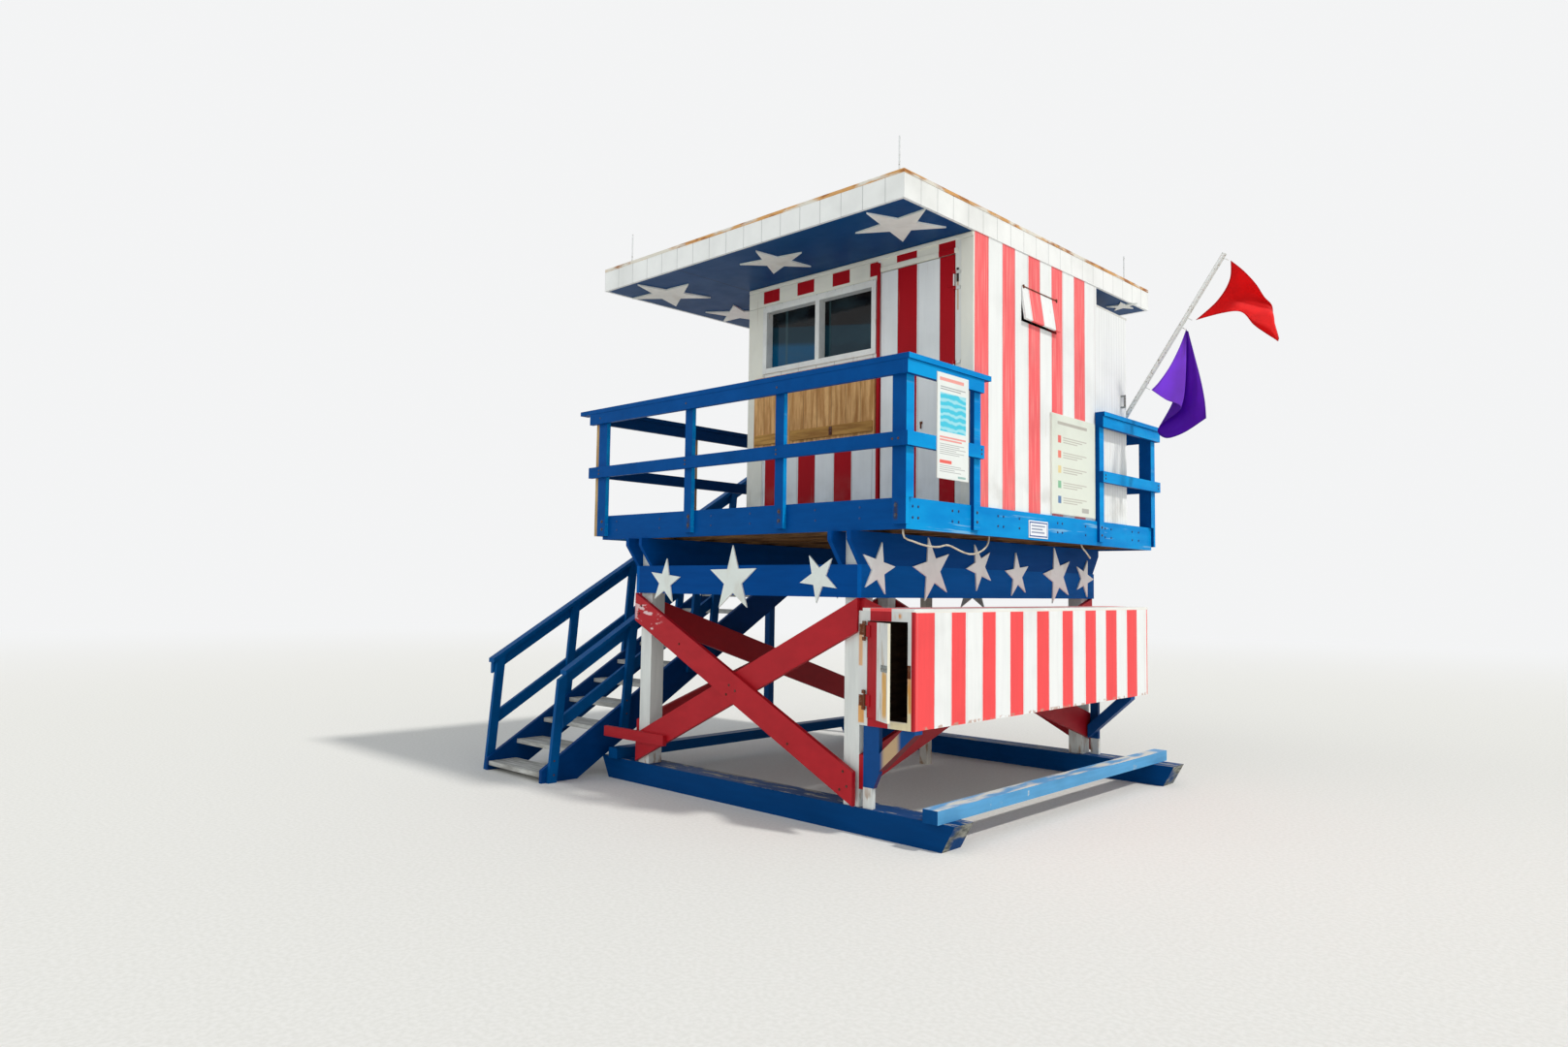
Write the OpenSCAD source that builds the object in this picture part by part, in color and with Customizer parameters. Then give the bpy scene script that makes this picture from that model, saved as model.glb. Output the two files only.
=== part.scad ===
// Lifeguard tower: a plywood hut with a railed deck on a braced timber frame,
// which stands on two long skids and is reached by a stair on its left side.
// Millimetres. X runs along the front, Y from the front to the rear, Z up from the ground.
// Before it is centred, the deck's front edge is at y = 0 and its middle at x = 0.

/* [Deck] */
// Width of the deck, left to right
deck_w = 3410; // [3000:10:4200]
// Depth of the deck, front to rear
deck_d = 3990; // [3700:10:4600]
// Height of the deck's walking surface above the ground
deck_top = 2350; // [2200:10:2700]
// Thickness of the deck boards
deck_board_t = 32; // [25:1:45]
// Depth of the joists and of the edge boards
joist_h = 184; // [140:1:235]
// Number of joists under the deck
joist_n = 9; // [6:1:12]

/* [Timber] */
// Thickness of the framing boards
board_t = 38; // [32:1:45]
// Height of the large beams and of the braces
beam_h = 238; // [200:1:286]
// Side of the square posts
post_w = 140; // [120:1:190]
// Side of the slender prop under the hut
prop_w = 85; // [70:1:110]

/* [Base] */
// Distance between the outer faces of the left and the right posts
post_span_x = 2470; // [2200:10:2900]
// Distance from the deck's front edge to the front posts
post_inset = 100; // [100:5:200]
// Distance between the outer faces of the front and the rear posts
post_span_y = 3520; // [3200:10:3800]
// Reach of the skids beyond the right posts
skid_reach = 812; // [600:2:1000]
// Width of a skid
skid_w = 225; // [140:1:250]
// Height of a skid
skid_h = 184; // [150:1:240]
// Length of the sloped cut under each skid end
skid_bevel = 100; // [60:5:160]
// Width of the doubled timbers that tie the skids
tie_w = 120; // [90:1:160]
// Height of the timbers that tie the skids
tie_h = 92; // [70:1:120]
// Reach of the deck beams in front of the deck edge
beam_reach = 65; // [40:5:120]

/* [Hut] */
// Width of the hut
hut_w = 2406; // [2200:2:2600]
// Depth of the hut, without the closet
hut_d = 2022; // [1800:2:2300]
// Distance from the deck's front edge to the hut
hut_front = 866; // [840:2:1000]
// Distance from the deck's right edge to the hut
hut_inset = 18; // [10:1:60]
// Thickness of the hut's walls
wall_t = 90; // [70:1:120]
// Depth of the closet behind the hut
closet_d = 604; // [450:2:700]
// Height of the closet
closet_h = 1968; // [1700:2:2020]
// Width of the front door's opening
door_w = 722; // [650:2:800]
// Height of the front door's opening
door_h = 1957; // [1800:1:2020]
// Thickness of the door leaves
leaf_t = 36; // [28:1:45]
// Width of the wall strip between the front door and the right corner
door_jamb = 166; // [120:1:220]
// Width of the wall strip between the left corner and the window
window_side = 192; // [120:2:400]
// Height of the window
window_h = 604; // [450:2:700]
// Height of the window's sill above the deck
window_sill = 1290; // [1150:2:1400]
// Distance from the front door's opening to the window
window_gap = 36; // [30:1:80]

/* [Roof] */
// Height of the roof's lower face above the deck, at the front edge
roof_clear = 2083; // [2060:1:2400]
// Rise of the roof from the front edge to the rear edge
roof_rise = 64; // [0:2:120]
// Overhang of the roof in front of the deck edge
roof_front = 36; // [10:1:300]
// Thickness of the whole roof edge
roof_edge_h = 203; // [150:1:260]
// Thickness of the soffit board
soffit_t = 16; // [12:1:25]
// Thickness of the roof's top board
roof_top_t = 22; // [16:1:30]
// Height of the roof's corner rods
rod_h = 250; // [150:5:400]

/* [Railing] */
// Height of the handrail above the deck
rail_h = 977; // [900:1:1100]
// Height of the middle rail's upper edge above the deck
mid_rail_h = 445; // [400:1:560]
// Height of the railing boards
rail_board_h = 98; // [80:1:120]
// Width of the flat handrail cap
cap_w = 89; // [80:1:140]
// Thickness of the handrail cap
cap_t = 38; // [30:1:45]
// Width of the railing posts
rail_post_w = 89; // [75:1:120]
// Width of the railing's corner posts
corner_w = 118; // [90:1:150]
// Depth of the railing's corner posts
corner_d = 90; // [80:1:120]
// Distance between the deck's right edge and the outer face of the posts there
side_out = 25; // [10:1:38]
// Length of the right railing in front of the hut
right_run = 884; // [700:2:900]

/* [Stair] */
// Number of treads
tread_n = 13; // [11:1:15]
// Rise from one tread to the next
rise = 174.4; // [150:0.1:190]
// Depth from one tread to the next
going = 290; // [260:1:320]
// Clear width between the stringers
stair_w = 850; // [750:2:1000]
// Height of the stair's stringer boards
stringer_h = 286; // [240:1:320]
// Height of the far handrail above the tread noses
far_rail_h = 920; // [800:2:1000]
// Height of the near handrail above the tread noses
near_rail_h = 780; // [700:2:900]
// Lean of the stair's railing posts, run for each unit of rise
post_lean = 0.09; // [0:0.01:0.15]

/* [Locker] */
// Depth of the locker, left to right
locker_d = 485; // [400:1:600]
// Length of the locker, front to rear
locker_len = 3780; // [3400:10:4000]
// Height of the locker
locker_h = 825; // [650:1:900]
// Height of the locker's underside above the ground
locker_z = 762; // [700:2:900]
// Thickness of the locker's boards
locker_t = 20; // [15:1:30]
// Angle at which the locker door stands ajar
ajar = 28; // [0:1:60]

/* [Flags] */
// Diameter of the flag pole
pole_d = 44; // [34:1:60]
// Length of the flag pole
pole_len = 2170; // [1900:10:2500]
// Lean of the flag pole from upright
pole_lean = 34; // [20:1:45]
// Thickness taken by a waving flag
flag_t = 60; // [40:2:100]

/* [Hidden] */
$fn = 48;

// Gap that keeps a moving leaf clear of its frame
leaf_gap = 8;
// Diameter of a hinge pin and its running gap
pin_d = 8;
pin_gap = 0.05;
hinge_plate_t = 4;
hinge_off = 5;
// Gap that keeps soft pieces clear of their neighbours
soft_gap = 0.3;
// Gap left where two boards of one group meet
seam = 0.5;

// Heights
deck_under = deck_top - deck_board_t - joist_h;
beam_top_z = deck_under;
beam_mid_z = beam_top_z - beam_h;
beam_low_z = beam_mid_z - beam_h;

// Plan of the deck and of the hut
deck_x = deck_w / 2;
hut_right = deck_x - hut_inset;
hut_left = hut_right - hut_w;
hut_rear = hut_front + hut_d;
closet_rear = hut_rear + closet_d;

// Plan of the posts
post_x = post_span_x / 2;
post_y = post_inset;
post_rear = post_inset + post_span_y;

// Roof lines: the roof covers the deck
roof_rear = deck_d;
roof_len = roof_rear + roof_front;
roof_slope = roof_rise / roof_len;
function soffit_z(y) = deck_top + roof_clear + (y + roof_front) * roof_slope;

// Stair lines
landing_front = 3250;
stair_near = -deck_x - 92;
stair_far = stair_near - stair_w;
slope = rise / going;
pitch = atan(slope);
stair_foot = landing_front - tread_n * going;

// Skids: the left ends stop short of the stair
skid_left = stair_near + board_t + 22;
skid_right = post_x + skid_reach;
skid_front = post_y - 15;
skid_rear = post_rear + 35 - skid_w;

// Railing lines, outwards from the deck's edge: post, board, cap
rail_z = deck_top + rail_h;
post_top = rail_z - cap_t - seam;
rail_foot = deck_top - joist_h;
board_in = board_t + seam;
board_out = 2 * board_t + seam;
cap_out = board_out + 4;
cap_in = cap_out - cap_w;
side_face = deck_x + side_out;
side_cap = [hut_right + 5, hut_right + 5 + cap_w];

// Locker lines
locker_in = post_x + board_t;
locker_out = post_x + locker_d;
locker_front = post_y - 20;
locker_rear = locker_front + locker_len;
locker_door_w = locker_d - 133;
locker_door_h = locker_h - 141;
locker_door_x = locker_in + 42;
locker_door_z = locker_z + 52;
locker_hinge_d = 16;
locker_hinge_h = 80;
locker_hinge_at = [88, locker_door_h - 112];

// Flag pole, fixed to the closet's rear wall and leaning out to the right
pole_y = closet_rear + pole_d / 2 + 22;
pole_foot = [hut_right - 310, deck_top + 610];
tie_d = 10;
hoist_off = 66;
red_hoist = [2130, 1545];
red_fly = [1945, 607];
red_tip = [1703, 850];
red_low = [1796, 424];
purple_hoist = [1450, 835];
purple_fly = [851, 661];
purple_low = [515, 422];
function on_pole(s, off) = [
  pole_foot[0] + s * sin(pole_lean) + off * cos(pole_lean),
  pole_foot[1] + s * cos(pole_lean) - off * sin(pole_lean)
];

// Middle of the whole tower in plan, which is set over the origin
left_end = stair_far - board_t - cap_out;
right_end = on_pole(red_tip[0], red_tip[1])[0];
front_end = stair_foot - 20;
rear_end = deck_d + cap_out;
mid_x = (left_end + right_end) / 2;
mid_y = (front_end + rear_end) / 2;

// Puts the children into the centred frame
module place() {
  translate([-mid_x, -mid_y, 0]) children();
}

// A squared timber between two limits on each axis
module span(x, y, z) {
  translate([x[0], y[0], z[0]]) cube([x[1] - x[0], y[1] - y[0], z[1] - z[0]]);
}

// An outline drawn in Y and Z, given a thickness along X
module along_x(x0, thick, points) {
  translate([x0, 0, 0])
    rotate([90, 0, 90])
      linear_extrude(thick) polygon(points);
}

// An outline drawn in X and Z, given a thickness along Y
module along_y(y0, thick, points) {
  translate([0, y0 + thick, 0])
    rotate([90, 0, 0])
      linear_extrude(thick) polygon(points);
}

// A leaning board between two upright cuts: a and b are the middles of its ends
function raked(a, b, h) = [
  [a[0], a[1] - h / 2], [b[0], b[1] - h / 2], [b[0], b[1] + h / 2], [a[0], a[1] + h / 2]
];

// A five-pointed star
function star_points(r, turn) = [
  for (i = [0:9])
    let (q = i % 2 == 0 ? r : 0.382 * r, a = turn + 36 * i)
      [q * cos(a), q * sin(a)]
];

module deck_floor() {
  color("royalblue") place()
    span([-deck_x + board_t, deck_x - board_t], [board_t, deck_d - board_t],
      [deck_top - deck_board_t, deck_top]);
}

module deck_fascia() {
  z = [deck_under, deck_top];
  inner_y = [board_t + seam, deck_d - board_t - seam];
  color("royalblue") place() {
    span([-deck_x, deck_x], [0, board_t], z);
    span([-deck_x, deck_x], [deck_d - board_t, deck_d], z);
    span([-deck_x, -deck_x + board_t], inner_y, z);
    span([deck_x - board_t, deck_x], inner_y, z);
  }
}

function joist_y(i) = board_t / 2 + i * (deck_d - 2 * board_t) / (joist_n + 1);

module floor_joists() {
  color("peru") place()
    for (i = [1:joist_n])
      span([-deck_x + board_t, deck_x - board_t], [joist_y(i), joist_y(i) + board_t],
        [deck_under, deck_top - deck_board_t]);
}

// One long beam along Y whose two ends are cut back below
module deck_beam(x0) {
  y0 = -beam_reach;
  y1 = post_rear + 140;
  cut = 125;
  drop = 65;
  along_x(x0, board_t, [
    [y0, beam_top_z], [y0, beam_top_z - drop], [y0 + cut, beam_mid_z],
    [y1 - cut, beam_mid_z], [y1, beam_top_z - drop], [y1, beam_top_z]
  ]);
}

module deck_beams() {
  color("royalblue") place() {
    deck_beam(-post_x - board_t);
    deck_beam(-post_x + post_w);
    deck_beam(post_x - post_w - board_t);
    deck_beam(post_x);
  }
}

module cross_beams() {
  x = [-post_x, post_x];
  color("royalblue") place() {
    span(x, [post_y - board_t, post_y], [beam_low_z, beam_mid_z]);
    span(x, [post_rear, post_rear + board_t], [beam_low_z, beam_mid_z]);
  }
}

module side_beams() {
  y = [post_y - board_t, post_rear + board_t];
  color("royalblue") place() {
    span([-post_x - board_t, -post_x], y, [beam_low_z, beam_mid_z]);
    span([post_x, post_x + board_t], y, [beam_low_z, beam_mid_z]);
  }
}

// Height of the blocks that stand on the skids under the uprights of the locker's brackets,
// and the section of the brackets' sloped timbers
block_h = 146;
bracket_w = 89;
upright_y = [post_y, post_rear - post_w + bracket_w + seam];

module posts() {
  block_x = post_x + board_t + seam;
  color("white") place() {
    for (x = [-post_x, post_x - post_w])
      for (y = [post_y, post_rear - post_w])
        span([x, x + post_w], [y, y + post_w], [skid_h, deck_under]);
    for (y = upright_y)
      span([block_x, block_x + 80], [y, y + board_t], [skid_h, skid_h + block_h]);
  }
}

module centre_prop() {
  x = -95;
  y = joist_y(joist_n - 2);
  color("gainsboro") place()
    span([x - prop_w / 2, x + prop_w / 2], [y, y + prop_w], [0, deck_under]);
}

// A skid with both ends sloped up from the ground
module skid(y0, right) {
  along_y(y0, skid_w, [
    [skid_left + skid_bevel, 0], [right - skid_bevel, 0], [right, skid_h], [skid_left, skid_h]
  ]);
}

module skids() {
  color("mediumblue") place() {
    skid(skid_front, skid_right);
    skid(skid_rear, skid_right + 83);
  }
}

module skid_ties() {
  y = [post_y - 60, post_rear + 105];
  right = skid_right - 222;
  left = -post_x - 350;
  color("cornflowerblue") place() {
    span([right, right + tie_w], y, [skid_h, skid_h + tie_h]);
    span([left, left + tie_w], y, [skid_h, skid_h + tie_h]);
  }
}

// Two boards that cross: half_w is half the width, the one behind leans the other way
module crossed_boards(half_w, z_low, z_high) {
  low = z_low + beam_h / 2;
  high = z_high - beam_h / 2;
  along_y(-board_t - seam, board_t, raked([-half_w, high], [half_w, low], beam_h));
  along_y(0, board_t, raked([-half_w, low], [half_w, high], beam_h));
}

brace_low = skid_h + 14;

module front_brace() {
  color("firebrick") place()
    translate([0, post_y - board_t, 0]) crossed_boards(post_x, brace_low, beam_low_z);
}

module rear_brace() {
  color("firebrick") place()
    translate([0, post_rear + board_t, 0])
      mirror([0, 1, 0]) crossed_boards(post_x, brace_low, beam_low_z);
}

// The crossed boards on the outer faces of the side posts, one board thick:
// one runs through and the other is in two halves
module side_brace() {
  half = post_span_y / 2;
  low = brace_low + 114 + beam_h / 2;
  high = beam_low_z - beam_h / 2;
  along_x(0, board_t, raked([-half, high], [half, low], beam_h));
  difference() {
    along_x(0, board_t, raked([-half, low], [half, high], beam_h));
    along_x(-1, board_t + 2, raked([-half, high], [half, low], beam_h + 2 * seam));
  }
}

module side_braces() {
  mid = (post_y + post_rear) / 2;
  color("firebrick") place() {
    translate([-post_x - board_t, mid, 0]) side_brace();
    translate([post_x, mid, 0]) side_brace();
  }
}

// Short board that ties the stair to the front left post
module stair_tie() {
  y = post_y - 2 * board_t - seam;
  z = skid_h + 189;
  color("firebrick") place()
    span([stair_near + 157, -post_x + 413], [y, y + board_t], [z, z + 89]);
}

module locker_floor() {
  color("white") place()
    span([locker_in, locker_out - locker_t], [locker_front + locker_t, locker_rear - locker_t],
      [locker_z, locker_z + locker_t]);
}

module locker_top() {
  color("white") place()
    span([locker_in, locker_out], [locker_front, locker_rear],
      [locker_z + locker_h - locker_t, locker_z + locker_h]);
}

module locker_face() {
  color("tomato") place()
    span([locker_out - locker_t, locker_out], [locker_front + locker_t, locker_rear - locker_t],
      [locker_z, locker_z + locker_h - locker_t]);
}

module locker_back() {
  color("white") place()
    span([locker_in, locker_in + locker_t], [locker_front + locker_t, locker_rear - locker_t],
      [locker_z + locker_t, locker_z + locker_h - locker_t]);
}

module locker_far_end() {
  color("white") place()
    span([locker_in, locker_out], [locker_rear - locker_t, locker_rear],
      [locker_z, locker_z + locker_h - locker_t]);
}

module locker_door_frame() {
  x = [locker_door_x, locker_door_x + locker_door_w];
  y = [locker_front, locker_front + locker_t];
  z = [locker_z, locker_z + locker_h - locker_t];
  color("white") place() {
    span([locker_in - 34, x[0]], y, z);
    span([x[1], locker_out], y, z);
    span([x[0] + seam, x[1] - seam], y, [z[0], locker_door_z]);
    span([x[0] + seam, x[1] - seam], y, [locker_door_z + locker_door_h, z[1]]);
  }
}

// The leaf lies in its opening; its hinge line lies in front of the frame
hinge_out = 14;
locker_hinge_x = locker_door_x - 12;
locker_hinge_y = locker_front - hinge_out;

module locker_door() {
  color("firebrick") place()
    translate([locker_hinge_x, locker_hinge_y, 0])
      rotate([0, 0, -ajar]) {
        span([12 + leaf_gap, 12 + locker_door_w - leaf_gap], [hinge_out, hinge_out + locker_t],
          [locker_door_z + leaf_gap, locker_door_z + locker_door_h - leaf_gap]);
        for (z = locker_hinge_at)
          translate([0, 0, locker_door_z + z]) leaf_knuckle(locker_hinge_d, locker_hinge_h, 75, hinge_out);
      }
}

// A knee bracket: an upright board of width w that stands on its block, and a timber that
// rises from x_low to the locker's outer edge
module locker_bracket(y_board, w, y_timber, x_low) {
  x0 = post_x + board_t;
  foot = skid_h + block_h;
  top = locker_z - seam;
  x1 = x0 + post_w;
  x2 = locker_out - 4;
  low = foot + 125;
  rake = (top - 27 - low) / (x2 - x1);
  up = bracket_w * norm([1, rake]);
  z_low = low + rake * (x_low - x1);
  along_y(y_board, board_t, [
    [x0, foot], [x0 + min(92, w), foot], [x0 + w, foot + 105], [x0 + w, locker_z], [x0, locker_z]
  ]);
  along_y(y_timber, bracket_w, [
    [x_low, z_low], [x2, top - 27], [x2, top], [x_low + (top - z_low - up) / rake, top], [x_low, z_low + up]
  ]);
}

module locker_brackets() {
  x0 = post_x + board_t + seam;
  color("royalblue") place() {
    locker_bracket(upright_y[0], post_w, post_y, x0 + post_w);
    locker_bracket(upright_y[1], 78, post_rear - post_w, x0 + 15);
  }
}

// The moving half of a hinge, with its axis along Z: dir is the leaf's side along X
module leaf_knuckle(d, h, len, seat) {
  difference() {
    union() {
      cylinder(d = d, h = h);
      span([0, len], [seat - hinge_plate_t - hinge_off, seat - seam], [0, h]);
    }
    translate([0, 0, -1]) cylinder(d = pin_d + 2 * pin_gap, h = h + 2);
  }
}

// The fixed half of a hinge: its pin, and a knuckle with a plate above and below
module pin_knuckles(d, h, len, seat) {
  end = 25;
  translate([0, 0, -leaf_gap / 2 - end]) cylinder(d = pin_d, h = h + leaf_gap + 2 * end);
  for (z = [-leaf_gap / 2 - end, h + leaf_gap / 2])
    translate([0, 0, z]) {
      cylinder(d = d, h = end);
      span([0, leaf_gap], [seat - hinge_plate_t - hinge_off, seat - hinge_off], [0, end]);
      span([leaf_gap, len], [seat - hinge_plate_t - hinge_off, seat], [0, end]);
    }
}

// Upright wall between two places on X, its top cut to the roof's slope
module wall_y(x, y, z0 = deck_top) {
  along_x(x[0], x[1] - x[0], [
    [y[0], z0], [y[1], z0], [y[1], soffit_z(y[1])], [y[0], soffit_z(y[0])]
  ]);
}

door_right = hut_right - door_jamb;
door_left = door_right - door_w;
window_right = door_left - window_gap;
window_left = hut_left + window_side;
window_w = window_right - window_left;
window_z = deck_top + window_sill;
front_y = [hut_front, hut_front + wall_t];

module front_wall() {
  color("white") place()
    difference() {
      wall_y([hut_left, door_left], front_y);
      span([window_left, window_right], [front_y[0] - 1, front_y[1] + 1],
        [window_z, window_z + window_h]);
    }
}

module front_wall_corner() {
  color("white") place() wall_y([door_right, hut_right], front_y);
}

module front_wall_header() {
  color("white") place() wall_y([door_left, door_right], front_y, deck_top + door_h);
}

// Opening of the vent in the right wall
vent_y = [hut_front + 697, hut_front + 1280];
vent_z = [deck_top + door_h - 411, deck_top + door_h - 117];

module right_wall() {
  color("tomato") place()
    difference() {
      wall_y([hut_right - wall_t, hut_right], [front_y[1], hut_rear]);
      span([hut_right - wall_t - 1, hut_right + 1], vent_y, vent_z);
    }
}

module left_wall() {
  color("tomato") place() wall_y([hut_left, hut_left + wall_t], [front_y[1], hut_rear]);
}

module rear_wall() {
  color("white") place()
    wall_y([hut_left + wall_t, hut_right - wall_t], [hut_rear - wall_t, hut_rear]);
}

module closet_walls() {
  z = [deck_top, deck_top + closet_h - locker_t];
  t = 40;
  color("white") place() {
    span([hut_left, hut_left + t], [hut_rear, closet_rear], z);
    span([hut_right - t, hut_right], [hut_rear, closet_rear], z);
    span([hut_left + t + seam, hut_right - t - seam], [closet_rear - t, closet_rear], z);
  }
}

module closet_roof() {
  color("white") place()
    span([hut_left - 10, hut_right], [hut_rear, closet_rear + 20],
      [deck_top + closet_h - locker_t, deck_top + closet_h]);
}

window_bar = 46;
mullion_x = window_left + window_w * 0.505;

module window_frame() {
  y = [hut_front - 18, hut_front + 60];
  z = [window_z, window_z + window_h];
  inner_z = [z[0] + window_bar + seam, z[1] - window_bar - seam];
  color("ivory") place() {
    span([window_left, window_right], y, [z[0], z[0] + window_bar]);
    span([window_left, window_right], y, [z[1] - window_bar, z[1]]);
    for (x = [window_left, mullion_x - window_bar / 2, window_right - window_bar])
      span([x, x + window_bar], y, inner_z);
  }
}

module window_glass() {
  y = hut_front + 60;
  color("darkslategray", 0.5) place()
    span([window_left + 4, window_right - 4], [y, y + 5], [window_z + 4, window_z + window_h - 4]);
}

shutter_t = 34;
shutter_h = window_h + 48;
shutter_z = [window_z - 38 - shutter_h, window_z - 38];
shutter_split = window_left + 285;

module window_shutters() {
  y = [hut_front - shutter_t, hut_front];
  color("burlywood") place() {
    span([window_left - 80, shutter_split], y, shutter_z);
    span([shutter_split + 12, door_left - 34], y, shutter_z);
  }
}

// Flap cut from the wall over the vent, hung at its top and pushed out a little at its foot
module vent_flap() {
  t = 20;
  lean = 8.5;
  color("lightpink") place()
    translate([hut_right, vent_y[0] + 5, vent_z[1] - seam])
      rotate([0, -lean, 0])
        span([-t, 0], [0, vent_y[1] - vent_y[0] - 10], [vent_z[0] - vent_z[1] + 12, 0]);
}

front_hinge_d = 16;
front_hinge_h = 90;
front_hinge_at = [250, 1000, door_h - 257];
front_hinge_x = door_right - leaf_gap;
front_hinge_y = hut_front - hinge_out;

module front_door() {
  color("firebrick") place() {
    span([door_left + leaf_gap, door_right - leaf_gap], [hut_front, hut_front + leaf_t],
      [deck_top + leaf_gap, deck_top + door_h - leaf_gap]);
    for (z = front_hinge_at)
      translate([front_hinge_x, front_hinge_y, deck_top + z])
        mirror([1, 0, 0]) leaf_knuckle(front_hinge_d, front_hinge_h, 55, hinge_out);
  }
}

module hinge_pins() {
  color("sienna") place() {
    for (z = front_hinge_at)
      translate([front_hinge_x, front_hinge_y, deck_top + z])
        pin_knuckles(front_hinge_d, front_hinge_h, 55, hinge_out);
    for (z = locker_hinge_at)
      translate([locker_hinge_x, locker_hinge_y, locker_door_z + z])
        mirror([1, 0, 0]) pin_knuckles(locker_hinge_d, locker_hinge_h, 28, hinge_out);
  }
}

module grab_handle() {
  y = [closet_rear - 118, closet_rear - 102];
  z = deck_top + 1150;
  bar = 15;
  color("gray") place() {
    span([hut_right + 30 + seam, hut_right + 30 + bar], y, [z - 60, z + 60]);
    for (end = [z - 60, z + 60 - bar])
      span([hut_right, hut_right + 30], y, [end, end + bar]);
  }
}

// A sloped board of the roof between two heights above its lower face
module roof_board(x, y, lift) {
  along_x(x[0], x[1] - x[0], [
    [y[0], soffit_z(y[0]) + lift[0]], [y[1], soffit_z(y[1]) + lift[0]],
    [y[1], soffit_z(y[1]) + lift[1]], [y[0], soffit_z(y[0]) + lift[1]]
  ]);
}

fascia_t = 25;
roof_x = [-deck_x - 14, deck_x - 10];
roof_y = [-roof_front, roof_rear];
roof_in_x = [roof_x[0] + fascia_t, roof_x[1] - fascia_t];
roof_in_y = [roof_y[0] + fascia_t, roof_y[1] - fascia_t];

module roof_soffit() {
  color("midnightblue") place() roof_board(roof_in_x, roof_in_y, [0, soffit_t]);
}

module roof_top() {
  color("gainsboro") place() roof_board(roof_in_x, roof_in_y, [roof_edge_h - roof_top_t, roof_edge_h]);
}

module roof_fascia() {
  side_y = [roof_in_y[0] + seam, roof_in_y[1] - seam];
  color("whitesmoke") place() {
    roof_board(roof_x, [roof_y[0], roof_in_y[0]], [0, roof_edge_h]);
    roof_board(roof_x, [roof_in_y[1], roof_y[1]], [0, roof_edge_h]);
    roof_board([roof_x[0], roof_in_x[0]], side_y, [0, roof_edge_h]);
    roof_board([roof_in_x[1], roof_x[1]], side_y, [0, roof_edge_h]);
  }
}

// Rods on the roof's edge board in front and on its top board at the rear
module roof_rods() {
  rod_d = 12;
  color("silver") place()
    for (x = [roof_x[0] + 380, roof_x[1] - 50])
      for (y = [roof_y[0] + fascia_t / 2, roof_y[1] - 430])
        translate([x, y, soffit_z(y + rod_d) + roof_edge_h]) cylinder(d = rod_d, h = rod_h);
}

// The two boards of a railing between two places on X and on Y
module rail_boards(x, y) {
  span(x, y, [post_top - rail_board_h, post_top]);
  span(x, y, [deck_top + mid_rail_h - rail_board_h, deck_top + mid_rail_h]);
}

module rail_cap(x, y) {
  span(x, y, [rail_z - cap_t, rail_z]);
}

module rail_post(x, y, foot = rail_foot) {
  span(x, y, [foot, post_top]);
}

// A corner post: its upper part stands on the deck, its lower part laps over the edge board
module corner_post(x, upper_y, lower_y) {
  rail_post(x, upper_y, deck_top);
  span(x, lower_y, [rail_foot, deck_top - seam]);
}

// A post on the right edge, notched over the edge board
module side_post(y0) {
  y = [y0, y0 + rail_post_w];
  rail_post([side_cap[0], side_face], y, deck_top);
  span([deck_x, side_face], y, [rail_foot, deck_top - seam]);
}

module front_railing() {
  color("royalblue") place() {
    for (x = [-deck_x - board_t, -deck_x + 0.34 * deck_w, -deck_x + 0.646 * deck_w])
      rail_post([x, x + (x < -deck_x ? corner_w : rail_post_w)], [-board_t, 0]);
    corner_post([side_face - corner_w, side_face], [-board_t, corner_d - board_t], [-board_t, 0]);
    rail_boards([-deck_x - 135, side_face], [-board_out, -board_in]);
    rail_cap([-deck_x - 280, side_cap[1]], [-cap_out, -cap_in]);
  }
}

// Railing on the left side, from the front corner to the stair's landing
module left_railing() {
  color("royalblue") place() {
    rail_boards([-deck_x - board_t, -deck_x], [seam, landing_front]);
    rail_cap([-deck_x - cap_out, -deck_x - cap_in], [seam - cap_in, landing_front]);
  }
}

// Bare posts outside the left railing; the last one stops above the stair
module left_railing_posts() {
  x = [-deck_x - board_out, -deck_x - board_in];
  last = landing_front - 150;
  color("peru") place() {
    for (y = [-board_t, landing_front - 2169, landing_front - 1139])
      rail_post(x, [y, y + rail_post_w]);
    rail_post(x, [last, last + rail_post_w], deck_top + 12);
  }
}

module right_railings() {
  board_x = [side_face + seam, side_face + board_in];
  rear_run = landing_front - 410;
  color("royalblue") place() {
    side_post(right_run - 80);
    rail_boards(board_x, [-board_out, right_run]);
    rail_cap(side_cap, [seam - cap_in, right_run + 77]);
    side_post(rear_run + 2);
    rail_boards(board_x, [rear_run, deck_d + board_out]);
    rail_cap(side_cap, [rear_run, deck_d + cap_in - seam]);
  }
}

module rear_railing() {
  color("royalblue") place() {
    for (x = [-deck_x + 60, -deck_x + 0.48 * deck_w])
      rail_post([x, x + rail_post_w], [deck_d, deck_d + board_t]);
    corner_post([side_face - corner_w, side_face], [deck_d + board_t - corner_d, deck_d + board_t],
      [deck_d, deck_d + board_t]);
    rail_boards([-deck_x, side_face], [deck_d + board_in, deck_d + board_out]);
    rail_cap([-deck_x, side_cap[1]], [deck_d + cap_in, deck_d + cap_out]);
  }
}

// Sloped line of the tread noses
function nose_z(y) = deck_top + (y - landing_front) * slope;
tread_t = 38;
tread_d = going - 4;

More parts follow.
